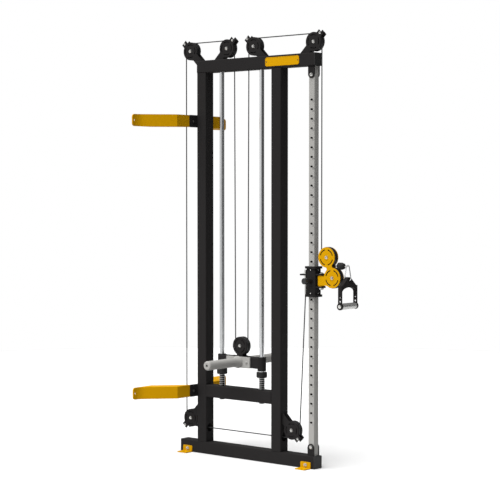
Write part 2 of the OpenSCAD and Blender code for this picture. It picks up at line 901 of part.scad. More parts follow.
module column_cable_lower() {
    color(cable_grey)
        cable_run(on_groove(right_axle_x, low_axle_z, -low_lean), [anchor_x, anchor_foot_z - near]);
}

module top_wheel_1() {
    wheel(TOP_AXLES[0], axle_z);
}

module top_wheel_2() {
    wheel(TOP_AXLES[1], axle_z);
}

module top_wheel_3() {
    wheel(TOP_AXLES[2], axle_z);
}

module top_wheel_4() {
    wheel(TOP_AXLES[3], axle_z);
}

module bottom_wheel_left() {
    wheel(left_axle_x, low_axle_z);
}

module bottom_wheel_right() {
    wheel(right_axle_x, low_axle_z);
}

module carriage_crossbar() {
    color(frame_black)
        difference() {
            translate([-rod_x, 0, bar_z + carriage_h / 2])
                rotate([0, 90, 0])
                    box_tube(carriage_h, carriage_d, 5, 6, 2 * rod_x);
            for (side = [-1, 1])
                translate([side * rod_x, 0, bar_z - cut])
                    cylinder(d = sleeve_d, h = carriage_h + 2 * cut);
            for (side = [-1, 1])
                translate([side * horn_bolt_x, 0, bar_z + carriage_h / 2])
                    rod_y(horn_bolt_d, -carriage_d / 2 - cut, carriage_d / 2 + cut);
        }
}

horn_bolt_x = horn_plate_w / 2 - 22;
horn_bolt_d = 10;

module guide_sleeves() {
    color(frame_black)
        for (side = [-1, 1])
            translate([side * rod_x, 0, sleeve_z])
                difference() {
                    cylinder(d = sleeve_d, h = sleeve_h);
                    translate([0, 0, -cut])
                        cylinder(d = bush_d, h = sleeve_h + 2 * cut);
                }
}

// Bushes that run on the rods, each with a lip that lands on its buffer pad
module guide_bushes() {
    color(bright_steel)
        for (side = [-1, 1])
            translate([side * rod_x, 0, rest_z])
                difference() {
                    union() {
                        cylinder(d = bush_d, h = sleeve_h + bush_lip);
                        cylinder(d = bush_d + 3, h = bush_lip);
                    }
                    translate([0, 0, -cut])
                        cylinder(d = rod_d + 2 * run, h = sleeve_h + bush_lip + 2 * cut);
                }
}

// Solid round bar of the horn with its rounded end, standing along Z
module horn_bar() {
    end_r = 8;
    rotate_extrude() {
        square([horn_d / 2, horn_len - end_r]);
        square([horn_d / 2 - end_r, horn_len]);
        intersection() {
            translate([horn_d / 2 - end_r, horn_len - end_r])
                circle(end_r);
            square([horn_d, horn_len]);
        }
    }
}

// Weight plate horn on the front: its mounting plate, its tube and the end plug with its centre hole
module plate_horn() {
    face_y = -carriage_d / 2 - horn_plate_t;
    mid_z = bar_z + carriage_h / 2;
    plug_t = 10;
    plug_hole_d = 14;
    color(steel_grey)
        translate([0, 0, mid_z])
            difference() {
                union() {
                    translate([0, -carriage_d / 2, 0])
                        rotate([90, 0, 0])
                            linear_extrude(horn_plate_t)
                                round_rect(horn_plate_w, carriage_h, 4);
                    translate([0, face_y, 0])
                        rotate([90, 0, 0])
                            horn_bar();
                }
                rod_y(horn_d - 2 * horn_wall, face_y - horn_len + plug_t, -carriage_d / 2 + cut);
                rod_y(plug_hole_d, face_y - horn_len - cut, face_y);
                for (side = [-1, 1])
                    translate([side * horn_bolt_x, 0, 0])
                        rod_y(horn_bolt_d, face_y - cut, -carriage_d / 2 + cut);
            }
}

module front_plate_horn() {
    plate_horn();
}

module rear_plate_horn() {
    mirror([0, 1, 0])
        plate_horn();
}

module carriage_bolts() {
    plate_y = carriage_d / 2 + horn_plate_t;
    color(bright_steel) {
        for (side = [-1, 1])
            translate([side * horn_bolt_x, 0, bar_z + carriage_h / 2])
                bolt_y(horn_bolt_d, -plate_y, plate_y, 14);
        translate([0, 0, carriage_axle_z])
            bolt_y(axle_d, -cheek_out, cheek_out, 20);
    }
}

module carriage_pulley_bracket() {
    color(frame_black)
        cheek_pair(0, carriage_axle_z)
            difference() {
                union() {
                    circle(cheek_r);
                    translate([-leg_w / 2, -carriage_axle_rise])
                        square([leg_w, carriage_axle_rise]);
                }
                circle(d = axle_d);
                slot_ring(45);
            }
}

module carriage_wheel() {
    wheel(0, carriage_axle_z);
}

module carriage_cable() {
    color(cable_grey)
        cable_arc(0, carriage_axle_z, 180 + lift_lean, 180 - 2 * lift_lean);
}

module buffer_pad(side) {
    color(rubber_black)
        translate([side * rod_x, 0, pad_z])
            rotate_extrude()
                polygon([[rod_d / 2 + run, 0], [pad_d / 2 - 3, 0], [pad_d / 2, 3], [pad_d / 2, pad_h - 3],
                    [pad_d / 2 - 3, pad_h], [rod_d / 2 + run, pad_h]]);
}

module buffer_pad_left() {
    buffer_pad(-1);
}

module buffer_pad_right() {
    buffer_pad(1);
}

// Helix of the buffer spring: a flat half turn, the rising turns and a flat half turn
spring_r = rod_d / 2 + spring_room + spring_wire / 2;
spring_rise = spring_h - spring_wire;
spring_rings = 12;
spring_sides = 6;
spring_steps = spring_turns * spring_rings;
function spring_z(turn) = spring_rise * min(max(turn - 0.5, 0), spring_turns - 1) / (spring_turns - 1);
function spring_at(turn) = [spring_r * cos(360 * turn), spring_r * sin(360 * turn), spring_z(turn)];
function unit(v) = v / norm(v);
// Ring of the wire at one place of the helix; the section is flat at the foot and the head of the spring
function spring_ring(turn) =
    let (out = [cos(360 * turn), sin(360 * turn), 0],
        ahead = unit(spring_at(turn + 0.01) - spring_at(turn - 0.01)),
        side = unit(out - (out * ahead) * ahead),
        up = cross(ahead, side),
        corner_r = spring_wire / 2 / cos(180 / spring_sides))
    [for (k = [0:spring_sides - 1]) let (a = 360 * k / spring_sides)
        spring_at(turn) + corner_r * (cos(a) * side + sin(a) * up)];
SPRING_RINGS = [for (k = [0:spring_steps]) spring_ring(k / spring_rings)];
// Least distance between the wire's corner points on one turn and those on the next
spring_gap = min([for (k = [0:spring_steps - spring_rings], p = SPRING_RINGS[k],
    q = SPRING_RINGS[k + spring_rings]) norm(q - p)]);
echo(spring_gap = spring_gap);

// Closed tube through rings of equal count
module tube_mesh(rings) {
    sides = len(rings[0]);
    last = len(rings) - 1;
    faces = concat(
        [for (k = [1:sides - 2]) [0, k, k + 1]],
        [for (r = [0:last - 1], k = [0:sides - 1]) [r * sides + k, (r + 1) * sides + k, r * sides + (k + 1) % sides]],
        [for (r = [0:last - 1], k = [0:sides - 1])
            [r * sides + (k + 1) % sides, (r + 1) * sides + k, (r + 1) * sides + (k + 1) % sides]],
        [for (k = [1:sides - 2]) [last * sides, last * sides + k + 1, last * sides + k]]);
    polyhedron([for (ring = rings, point = ring) point], faces);
}

module buffer_spring(side) {
    color(bright_steel)
        translate([side * rod_x, 0, crossbeam_top + spring_wire / 2])
            tube_mesh(SPRING_RINGS);
}

module buffer_spring_left() {
    buffer_spring(-1);
}

module buffer_spring_right() {
    buffer_spring(1);
}

barrel_d = 27;
barrel_wall = 3;
pin_room = 0.5;
knob_gap = 10;
housing_y = -trolley_d / 2;
lug_step = 5;
swivel_lug_low = arm_low_z - lug_step - swivel_lug_t;
swivel_lug_high = arm_low_z + block_arm_h + lug_step;
swivel_lug_w = 44;
anchor_hole_d = 12;

// Round-ended lug plate of the trolley, from its housing to the pin at distance reach
module hinge_lug(reach, width, hole_d) {
    linear_extrude(swivel_lug_t)
        difference() {
            union() {
                translate([0, -width / 2])
                    square([reach, width]);
                translate([reach, 0])
                    circle(width / 2);
            }
            translate([reach, 0])
                circle(d = hole_d);
        }
}

module trolley_housing() {
    color(deep_black)
        difference() {
            union() {
                translate([column_x, 0, trolley_z])
                    linear_extrude(trolley_h)
                        round_rect(trolley_w, trolley_d, 5);
                for (z = [trolley_z, trolley_z + trolley_h - flange_t])
                    translate([column_x, 0, z])
                        linear_extrude(flange_t)
                            round_rect(trolley_w + 2 * flange_lip, trolley_d + 2 * flange_lip, 9);
                for (z = [swivel_lug_low, swivel_lug_high])
                    translate([column_x + trolley_w / 2 - cut, 0, z])
                        hinge_lug(swivel_off + cut, swivel_lug_w, swivel_pin_d);
                translate([anchor_x - anchor_lug_end, 0, anchor_z])
                    linear_extrude(swivel_lug_t)
                        difference() {
                            translate([0, -anchor_lug_w / 2])
                                square([column_x - trolley_w / 2 - anchor_x + anchor_lug_end + cut, anchor_lug_w]);
                            translate([anchor_lug_end, 0])
                                circle(d = anchor_hole_d);
                        }
                translate([column_x, 0, pin_z])
                    rod_y(barrel_d, housing_y - barrel_len, housing_y + cut);
            }
            translate([column_x, 0, trolley_z - cut])
                linear_extrude(trolley_h + 2 * cut)
                    square(housing_in, center = true);
            translate([column_x, 0, pin_z])
                rod_y(pin_d + 2 * run, housing_y - barrel_len - cut, 0);
            for (screw = SCREWS)
                translate([column_x, screw[1], screw[2]])
                    rotate([0, 0, screw[0]])
                        rod_y(screw_d, -trolley_w / 2 - 5, 0);
        }
}

screw_d = 6;
// Adjusting screws of the glide liners: turn about Z, then shift along Y and height
SCREWS = [[0, 0, trolley_z + 19], [0, 0, trolley_z + trolley_h - 19],
    [90, 0, trolley_z + 19], [90, 0, trolley_z + trolley_h - 19],
    [-90, 0, trolley_z + 19], [-90, 0, trolley_z + trolley_h - 19]];

module trolley_screws() {
    color(bright_steel)
        for (screw = SCREWS)
            translate([column_x, screw[1], screw[2]])
                rotate([0, 0, screw[0]])
                    rod_y(screw_d, -(screw[0] == 0 ? trolley_d : trolley_w) / 2 - 1.5, -housing_in / 2);
}

module trolley_liners() {
    liner_h = 40;
    color(nylon_white)
        for (z = [trolley_z + 2, trolley_z + trolley_h - liner_h - 2])
            translate([column_x, 0, z])
                linear_extrude(liner_h)
                    difference() {
                        square(housing_in, center = true);
                        square(liner_in, center = true);
                    }
}

// Threaded terminal of the cable: swaged shank, stud through the anchor lug, nut and washer
module cable_anchor() {
    stud_top = anchor_z + swivel_lug_t + 22;
    color(bright_steel)
        translate([anchor_x, 0, 0]) {
            translate([0, 0, anchor_foot_z])
                cylinder(d = 10, h = anchor_z - 12 - anchor_foot_z);
            translate([0, 0, anchor_z - 12])
                cylinder(d = anchor_hole_d, h = stud_top - anchor_z + 12);
            translate([0, 0, anchor_z - 9])
                cylinder(d = 21, h = 9, $fn = 6);
            translate([0, 0, anchor_z + swivel_lug_t]) {
                cylinder(d = 24, h = 2);
                cylinder(d = 21, h = 12, $fn = 6);
            }
        }
}

module swivel_pin() {
    foot_z = swivel_lug_low;
    head_z = swivel_lug_high + swivel_lug_t;
    color(bright_steel)
        translate([swivel_x, 0, 0]) {
            translate([0, 0, foot_z - 10])
                cylinder(d = swivel_pin_d, h = head_z - foot_z + 10);
            translate([0, 0, foot_z - 8])
                cylinder(d = 25, h = 8, $fn = 6);
            translate([0, 0, head_z])
                cylinder(d = 26, h = 2);
            translate([0, 0, head_z + 2])
                dome(23, 6);
        }
}

// Locking pin with its knob, drawn back so that its nose just clears the column
module lock_pin() {
    pin_y = -column_w / 2 - pin_room;
    knob_y = housing_y - barrel_len - knob_gap;
    color(deep_black)
        translate([column_x, 0, pin_z]) {
            rod_y(pin_d, knob_y - 1, pin_y);
            translate([0, knob_y, 0])
                rotate([90, 0, 0])
                    rotate_extrude()
                        polygon([[0, 0], [knob_d / 2 - 6, 0], [knob_d / 2 - 4, 3], [knob_d / 2, 7],
                            [knob_d / 2, 17], [knob_d / 2 - 3, 20], [0, 21]]);
        }
}

// Block outline in X and Z: two discs joined by a filleted waist, and the arm to the swivel
module block_outline() {
    fillet_r = 10;
    half_gap = block_axle_gap / 2;
    side = sqrt(pow(block_r + fillet_r, 2) - pow(half_gap, 2));
    along = [lower_axle[0] - upper_axle[0], lower_axle[1] - upper_axle[1]] / block_axle_gap;
    across = [-along[1], along[0]];
    middle = (upper_axle + lower_axle) / 2;
    difference() {
        union() {
            for (axle = [upper_axle, lower_axle])
                translate(axle)
                    circle(block_r);
            difference() {
                polygon([upper_axle, middle + side * across, lower_axle, middle - side * across]);
                for (s = [-1, 1])
                    translate(middle + s * side * across)
                        circle(fillet_r);
            }
            translate([swivel_x - 11, arm_low_z])
                square([lower_axle[0] - swivel_x + 11, block_arm_h]);
        }
        for (axle = [upper_axle, lower_axle])
            translate(axle) {
                circle(d = axle_d);
                slot_ring(45, block_slot_r, block_slot_w);
            }
    }
}

module swivel_block() {
    boss_r = cheek_out;
    color(signal_yellow)
        difference() {
            union() {
                cheek_pair(0, 0)
                    block_outline();
                translate([swivel_x, 0, arm_low_z - lug_step + near])
                    cylinder(r = boss_r, h = block_arm_h + 2 * lug_step - 2 * near);
            }
            translate([swivel_x, 0, arm_low_z - lug_step - cut])
                cylinder(d = swivel_pin_d + 2 * run, h = block_arm_h + 2 * lug_step + 2 * cut);
        }
}

module block_bolts() {
    color(bright_steel)
        for (axle = [upper_axle, lower_axle])
            translate([axle[0], 0, axle[1]])
                bolt_y(axle_d, -cheek_out, cheek_out, 20);
}

module block_wheel_upper() {
    wheel(upper_axle[0], upper_axle[1]);
}

module block_wheel_lower() {
    wheel(lower_axle[0], lower_axle[1]);
}

// Cable under the upper wheel and out to the stopper
module block_cable() {
    color(cable_grey) {
        cable_arc(upper_axle[0], upper_axle[1], 180, 90);
        cable_run([upper_axle[0], exit_z], [stopper_x, exit_z]);
    }
}

stopper_end = stopper_x + stopper_len;
shank_d = 9;
shank_in = 14;

// Rubber stopper on the cable's end, over the shank of the eye
module cable_stopper() {
    color(rubber_black)
        translate([stopper_x + near, 0, exit_z])
            rotate([0, 90, 0])
                rotate_extrude()
                    polygon([[0, 0], [13, 0], [19, 6], [19, 26], [15, stopper_len - 3], [12, stopper_len - near],
                        [shank_d / 2, stopper_len - near], [shank_d / 2, stopper_len - shank_in],
                        [0, stopper_len - shank_in]]);
}

// Steel eye with its shank
module cable_eye() {
    color(bright_steel)
        translate([0, 0, exit_z]) {
            rod_x_axis(shank_d, stopper_end - shank_in + near, eye_x - eye_r);
            translate([eye_x, 0, 0])
                rotate_extrude()
                    translate([eye_r, 0])
                        circle(d = eye_bar, $fn = 24);
        }
}

// Bows of the carabiner
carabiner_r = carabiner_bar / 2;
top_bow_r = 8;
foot_bow_r = 13;
bow_top = carabiner_top_z - carabiner_r - top_bow_r;
bow_foot = carabiner_foot_z + carabiner_r + foot_bow_r;
hook_left = hook_x - carabiner_w / 2 + carabiner_r + foot_bow_r;
hook_right = hook_x + carabiner_w / 2 - carabiner_r - foot_bow_r;

// Lean of the carabiner's sides, which touch both its narrow top bow and its wide foot bends
bow_drop = norm([hook_right - hook_x, bow_top - bow_foot]);
side_lean = lean([hook_x, bow_foot], [hook_right, bow_top]) + asin((foot_bow_r - top_bow_r) / bow_drop);
side_top = [hook_x + top_bow_r * cos(side_lean), bow_top + top_bow_r * sin(side_lean)];
side_foot = [hook_right + foot_bow_r * cos(side_lean), bow_foot + foot_bow_r * sin(side_lean)];
side_dir = (side_top - side_foot) / norm(side_top - side_foot);
nose_len = 14;
gate_top = side_top - nose_len * side_dir;
hinge_len = 3;
hinge_end = side_foot + hinge_len * side_dir;
gate_pivot = hinge_end + (carabiner_r + near) * side_dir;
gate_len = norm(gate_top - gate_pivot) - near;

// Middle line of the bar in X and Z: from the gate's nose round the top bow, down and round the foot to the hinge
HOOK_LINE = concat([gate_top],
    arc_points(hook_x, bow_top, top_bow_r, side_lean, 180 - side_lean, 8),
    arc_points(hook_left, bow_foot, foot_bow_r, 180 - side_lean, 270, 6),
    arc_points(hook_right, bow_foot, foot_bow_r, 270, 360 + side_lean, 6), [hinge_end]);

// Rings of a round bar along a line of the XZ plane
function bar_rings(line, r, sides) =
    [for (k = [0:len(line) - 1])
        let (ahead = unit(line[min(k + 1, len(line) - 1)] - line[max(k - 1, 0)]))
        [for (j = [0:sides - 1]) let (a = 360 * j / sides)
            [line[k][0] + r * cos(a) * ahead[1], r * sin(a), line[k][1] - r * cos(a) * ahead[0]]]];

module carabiner() {
    color(bright_steel)
        tube_mesh(bar_rings(HOOK_LINE, carabiner_bar / 2, 12));
}

// Half outline of the gate: a round knuckle on the hinge, then a plain bar up to the nose
GATE_LINE = concat([for (a = [-90:18:0]) [carabiner_r * cos(a), carabiner_r * sin(a)]],
    [[carabiner_r, gate_len], [0, gate_len]]);

// Sprung gate that closes the carabiner's right side
module carabiner_gate() {
    color(bright_steel)
        translate([gate_pivot[0], 0, gate_pivot[1]])
            rotate([0, atan2(side_dir[0], side_dir[1]), 0])
                rotate_extrude($fn = 24)
                    polygon(GATE_LINE);
}

// Places and sizes of the lightening holes in the handle's arms: height above the grip and diameter
ARM_HOLES = [[26, 12], [46, 9], [63, 5]];

module handle_frame() {
    half_w = handle_w / 2;
    inner = half_w - handle_arm_t;
    shoulder_z = 107;
    arch_z = 98;
    arch_h = 25;
    foot_r = 18;
    color(deep_black)
        difference() {
            union() {
                translate([hook_x - handle_depth / 2, 0, grip_z])
                    rotate([90, 0, 90])
                        linear_extrude(handle_depth)
                            difference() {
                                polygon([[-half_w, 0], [half_w, 0], [half_w, shoulder_z], [half_w - 10, shoulder_z],
                                    [12, handle_h - 3], [7, handle_h], [-7, handle_h], [-12, handle_h - 3],
                                    [-half_w + 10, shoulder_z], [-half_w, shoulder_z]]);
                                translate([-inner, -cut])
                                    square([2 * inner, arch_z - arch_h + cut]);
                                intersection() {
                                    translate([0, arch_z - arch_h])
                                        scale([1, arch_h / inner])
                                            circle(inner);
                                    translate([-inner, arch_z - arch_h - cut])
                                        square([2 * inner, arch_h + 2 * cut]);
                                }
                            }
                for (side = [-1, 1])
                    translate([hook_x, side < 0 ? -half_w : inner, grip_z])
                        rod_y(2 * foot_r, 0, handle_arm_t);
            }
            translate([hook_x, 0, grip_z])
                rod_y(axle_d, -half_w - cut, half_w + cut);
            for (hole = ARM_HOLES)
                translate([hook_x, 0, grip_z + hole[0]])
                    rod_y(hole[1], -half_w - cut, half_w + cut);
            translate([hook_x, 0, hole_z])
                rod_x_axis(2 * handle_hole_r, -handle_depth, handle_depth);
        }
}

// Rod through the handle with its round end caps
module handle_axle() {
    half_w = handle_w / 2;
    color(bright_steel)
        translate([hook_x, 0, grip_z]) {
            rod_y(axle_d, -half_w - 1, half_w + 1);
            for (side = [0, 1])
                mirror([0, side, 0])
                    translate([0, -half_w, 0])
                        rotate([90, 0, 0])
                            dome(28, 6);
        }
}

module handle_grip() {
    half = handle_w / 2 - handle_arm_t - near;
    color(bright_steel)
        translate([hook_x, 0, grip_z])
            rotate([90, 0, 0])
                rotate_extrude()
                    polygon([[axle_d / 2 + run, -half], [grip_d / 2 - 2, -half], [grip_d / 2, -half + 2],
                        [grip_d / 2, half - 2], [grip_d / 2 - 2, half], [axle_d / 2 + run, half]]);
}

base_beam();
left_upright();
right_upright();
low_crossbeam();
top_beam();
beam_end_caps();
floor_brackets();
adjustment_column();
column_lugs();
guide_rods();
rack_tabs();
upper_rack_arms();
lower_rack_arms();
frame_bolts();
name_plate();
top_pulley_brackets();
bottom_pulley_brackets();
pulley_bolts();
frame_cable();
lift_cables();
column_cable_upper();
column_cable_lower();
top_wheel_1();
top_wheel_2();
top_wheel_3();
top_wheel_4();
bottom_wheel_left();
bottom_wheel_right();
carriage_crossbar();
guide_sleeves();
guide_bushes();
front_plate_horn();
rear_plate_horn();
carriage_bolts();
carriage_pulley_bracket();
carriage_wheel();
carriage_cable();
buffer_pad_left();
buffer_pad_right();
buffer_spring_left();
buffer_spring_right();
trolley_housing();
trolley_liners();
trolley_screws();
cable_anchor();
swivel_pin();
lock_pin();
swivel_block();
block_bolts();
block_cable();
block_wheel_upper();
block_wheel_lower();
cable_stopper();
cable_eye();
carabiner();
carabiner_gate();
handle_frame();
handle_axle();
handle_grip();
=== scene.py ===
"""Looks of the wall pulley column: finishes for every part, stranded cables, round-wire springs, socket
bolts, numbered height holes, the camera and the studio."""

import json
import math

import bmesh
import bpy
from mathutils import Matrix, Vector


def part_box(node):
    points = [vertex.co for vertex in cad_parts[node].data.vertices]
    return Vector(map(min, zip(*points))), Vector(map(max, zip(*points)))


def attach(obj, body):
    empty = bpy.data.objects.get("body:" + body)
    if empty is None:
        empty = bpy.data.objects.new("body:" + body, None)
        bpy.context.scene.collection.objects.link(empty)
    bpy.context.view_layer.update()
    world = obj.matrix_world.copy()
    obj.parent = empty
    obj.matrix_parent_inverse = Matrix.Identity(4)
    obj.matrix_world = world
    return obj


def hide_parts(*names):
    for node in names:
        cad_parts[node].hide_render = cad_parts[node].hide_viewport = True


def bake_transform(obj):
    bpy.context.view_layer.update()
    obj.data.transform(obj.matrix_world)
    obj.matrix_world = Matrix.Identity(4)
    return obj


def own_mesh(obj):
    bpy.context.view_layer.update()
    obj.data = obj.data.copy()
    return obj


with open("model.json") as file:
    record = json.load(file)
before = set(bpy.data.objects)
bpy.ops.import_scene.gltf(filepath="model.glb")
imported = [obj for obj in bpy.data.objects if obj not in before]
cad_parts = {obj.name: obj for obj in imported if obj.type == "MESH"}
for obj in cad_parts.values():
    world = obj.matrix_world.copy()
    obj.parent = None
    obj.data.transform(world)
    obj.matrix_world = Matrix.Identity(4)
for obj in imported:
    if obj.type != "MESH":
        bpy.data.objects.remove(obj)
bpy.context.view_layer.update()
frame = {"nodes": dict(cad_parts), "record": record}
MM = 0.001


def middle(node):
    low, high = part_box(node)
    return (low + high) / 2


# Sizes

CABLE_R = 3 * MM
GROOVE_R = 44 * MM
CHEEK_OUT = 17 * MM
TOP_WHEELS = [middle(f"top_wheel_{k}") for k in (1, 2, 3, 4)]
LOW_LEFT = middle("bottom_wheel_left")
LOW_RIGHT = middle("bottom_wheel_right")
LIFT_WHEEL = middle("carriage_wheel")
BLOCK_UPPER = middle("block_wheel_upper")
BLOCK_LOWER = middle("block_wheel_lower")
COLUMN_LOW, COLUMN_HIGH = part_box("adjustment_column")
COLUMN_X = (COLUMN_LOW.x + COLUMN_HIGH.x) / 2
EXIT_Z = BLOCK_UPPER.z - GROOVE_R
STOPPER_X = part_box("cable_stopper")[0].x
WHEEL_R = BLOCK_UPPER.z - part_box("block_wheel_upper")[0].z
KEEPER_OFF = WHEEL_R + 10 * MM
# Reach from a wheel axis of the painted shade on the block's slot walls
SLOT_SHADE_REACH = 47 * MM

# Materials


def add(tree, kind, settings=None, **inputs):
    """A new node. Its inputs take a number, a colour or another socket; they are named by socket, with
    underscores for spaces, or as i and the socket's number."""
    made = tree.nodes.new(kind)
    for key, value in (settings or {}).items():
        setattr(made, key, value)
    for key, value in inputs.items():
        numbered = key[0] == "i" and key[1:].isdigit()
        socket = made.inputs[int(key[1:]) if numbered else key.replace("_", " ")]
        if isinstance(value, bpy.types.NodeSocket):
            tree.links.new(value, socket)
        else:
            socket.default_value = value
    return made


def math_node(tree, operation, a, b=0.0, clamp=False):
    return add(tree, "ShaderNodeMath", {"operation": operation, "use_clamp": clamp}, i0=a, i1=b).outputs[0]


def remap(tree, value, low, high, to_low, to_high):
    return add(
        tree, "ShaderNodeMapRange", None, Value=value, From_Min=low, From_Max=high, To_Min=to_low,
        To_Max=to_high
    ).outputs[0]


def mix_colour(tree, factor, a, b):
    return add(tree, "ShaderNodeMix", {"data_type": "RGBA"}, i0=factor, i6=a, i7=b).outputs[2]


def dot_product(tree, a, b):
    made = add(tree, "ShaderNodeVectorMath", {"operation": "DOT_PRODUCT"}, i0=a, i1=b)
    return made.outputs["Value"]


def split(tree, vector):
    """The X, Y and Z of a vector."""
    return add(tree, "ShaderNodeSeparateXYZ", None, Vector=vector).outputs


def noise(tree, where, scale, detail=3.0, rough=0.55):
    return add(
        tree, "ShaderNodeTexNoise", None, Vector=where, Scale=scale, Detail=detail, Roughness=rough
    ).outputs[0]


def tint(colour, factor):
    return (colour[0] * factor, colour[1] * factor, colour[2] * factor, 1)


def start(name):
    material = bpy.data.materials.new(name)
    material.use_nodes = True
    tree = material.node_tree
    tree.nodes.clear()
    where = add(tree, "ShaderNodeTexCoord").outputs["Object"]
    return material, tree, where


def finish(material, tree, **inputs):
    shader = add(tree, "ShaderNodeBsdfPrincipled", None, **inputs)
    add(tree, "ShaderNodeOutputMaterial", None, Surface=shader.outputs[0])
    return material


def rounded(tree, radius):
    """Normal that softens the edges."""
    return add(tree, "ShaderNodeBevel", {"samples": 4}, Radius=radius).outputs[0]


def bump(tree, strength, depth, height, normal=None):
    given = {"Normal": normal} if normal else {}
    made = add(tree, "ShaderNodeBump", None, Strength=strength, Distance=depth, Height=height, **given)
    return made.outputs[0]


def edge_wear(tree, soft_normal, where, amount):
    """Where an edge turns, broken up by noise."""
    flat = add(tree, "ShaderNodeNewGeometry").outputs["Normal"]
    turn = remap(tree, dot_product(tree, soft_normal, flat), 0.995, 0.93, 0.0, 1.0)
    patches = remap(tree, noise(tree, where, 130, 4), 0.42, 0.62, 0.15, 1.0)
    return math_node(tree, "MULTIPLY", math_node(tree, "MULTIPLY", turn, patches), amount, True)


def painted(
    name, colour, rough, specular, wear_colour, wear=0.3, grain=900, grain_depth=0.06 * MM, radius=1.2 * MM,
    bore=None, slot_shade_axes=()
):
    """Powder coat: slightly cloudy colour, orange-peel grain, worn edges. Two kinds of place get a near-black
    painted shade: the bore, given as a square tube's middle in X and half width, which is bare steel inside,
    and the slot walls near the wheel axes given."""
    material, tree, where = start(name)
    clouds = noise(tree, where, 4, 4)
    specks = noise(tree, where, 260, 2)
    base = mix_colour(tree, remap(tree, clouds, 0.3, 0.7, 0, 1), tint(colour, 0.97), tint(colour, 1.03))
    base = mix_colour(tree, remap(tree, specks, 0.55, 0.75, 0, 0.15), base, tint(colour, 1.2))
    soft_normal = rounded(tree, radius)
    base = mix_colour(tree, edge_wear(tree, soft_normal, where, wear), base, (*wear_colour, 1))
    # Painted shade: inside the bore the colour goes near black
    if bore:
        x, y, _ = split(tree, where)
        across = math_node(tree, "ABSOLUTE", math_node(tree, "SUBTRACT", x, bore[0]))
        deep = math_node(tree, "MAXIMUM", across, math_node(tree, "ABSOLUTE", y))
        base = mix_colour(tree, math_node(tree, "LESS_THAN", deep, bore[1]), base, (*BORE_SHADE, 1))
    # Painted shade: slot walls round each wheel axis go near black
    if slot_shade_axes:
        x, _, z = split(tree, where)
        faced = split(tree, add(tree, "ShaderNodeTexCoord").outputs["Normal"])[1]
        wall = math_node(tree, "LESS_THAN", math_node(tree, "ABSOLUTE", faced), 0.5)
        for axis in slot_shade_axes:
            across = math_node(tree, "POWER", math_node(tree, "SUBTRACT", x, axis.x), 2.0)
            above = math_node(tree, "POWER", math_node(tree, "SUBTRACT", z, axis.z), 2.0)
            apart = math_node(tree, "SQRT", math_node(tree, "ADD", across, above))
            inside = math_node(tree, "LESS_THAN", apart, SLOT_SHADE_REACH)
            base = mix_colour(tree, math_node(tree, "MULTIPLY", wall, inside), base, (*SLOT_SHADE, 1))
    peel = bump(tree, 0.6, grain_depth, noise(tree, where, grain, 2), soft_normal)
    shine = remap(tree, noise(tree, where, 22, 4), 0.3, 0.7, rough - 0.06, rough + 0.08)
    return finish(material, tree, Base_Color=base, Roughness=shine, Specular_IOR_Level=specular, Normal=peel)


def moulded(name, colour, rough, specular=0.25, grain=1500, grain_depth=0.03 * MM, dust=0.12):
    """Plastic or rubber: fine matt grain, a little dust on top."""
    material, tree, where = start(name)
    clouds = noise(tree, where, 35, 4)
    base = mix_colour(tree, remap(tree, clouds, 0.35, 0.7, 0, 1), tint(colour, 0.85), tint(colour, 1.15))
    upward = split(tree, add(tree, "ShaderNodeNewGeometry").outputs["Normal"])[2]
    patches = remap(tree, clouds, 0.4, 0.65, 0.2, 1)
    settled = math_node(tree, "MULTIPLY", remap(tree, upward, 0.4, 1.0, 0, dust), patches, True)
    base = mix_colour(tree, settled, base, (*DUST, 1))
    fine = bump(tree, 0.5, grain_depth, noise(tree, where, grain, 2), rounded(tree, 0.6 * MM))
    shine = remap(tree, noise(tree, where, 60, 3), 0.3, 0.7, rough - 0.05, rough + 0.07)
    return finish(material, tree, Base_Color=base, Roughness=shine, Specular_IOR_Level=specular, Normal=fine)


def metal(name, colour, rough, stretch, dirt=0.25, spots=0.0):
    """Bare metal drawn along its longest stretch axis, with faint stains."""
    material, tree, where = start(name)
    drawn = add(tree, "ShaderNodeMapping", None, Vector=where, Scale=stretch).outputs[0]
    lines = noise(tree, drawn, 1.0, 3)
    stains = noise(tree, where, 48, 5)
    base = mix_colour(tree, remap(tree, stains, 0.45, 0.75, 0, dirt), tint(colour, 1.0), tint(colour, 0.55))
    if spots:
        cells = add(tree, "ShaderNodeTexVoronoi", None, Vector=where, Scale=420.0).outputs["Color"]
        base = mix_colour(tree, spots, base, mix_colour(tree, cells, tint(colour, 0.6), tint(colour, 1.1)))
    shine = remap(tree, lines, 0.3, 0.7, rough * 0.85, rough * 1.2)
    fine = bump(tree, 0.08, 0.01 * MM, lines, rounded(tree, 0.4 * MM))
    return finish(material, tree, Base_Color=base, Metallic=1.0, Roughness=shine, Normal=fine)


def stranded(name, colour, rough):
    """Laid steel cable; the piece's UV runs round the cable and, in metres, along it."""
    material, tree, where = start(name)
    strands = 6
    lay = 38 * MM
    u, v, _ = split(tree, add(tree, "ShaderNodeTexCoord").outputs["UV"])
    around = math_node(tree, "MULTIPLY", u, float(strands))
    turn = math_node(tree, "ADD", around, math_node(tree, "MULTIPLY", v, strands / lay))
    ridge = math_node(tree, "ABSOLUTE", math_node(tree, "SINE", math_node(tree, "MULTIPLY", turn, math.pi)))
    stains = noise(tree, where, 90, 4)
    # Painted shade: the grooves between the strands are darker
    base = mix_colour(tree, remap(tree, ridge, 0.0, 0.6, 0, 1), tint(colour, 0.25), tint(colour, 1.0))
    base = mix_colour(tree, remap(tree, stains, 0.45, 0.7, 0, 0.4), base, tint(colour, 0.6))
    twist = bump(tree, 1.0, 0.8 * MM, ridge)
    shine = remap(tree, stains, 0.3, 0.7, rough - 0.05, rough + 0.1)
    return finish(material, tree, Base_Color=base, Specular_IOR_Level=0.2, Roughness=shine, Normal=twist)


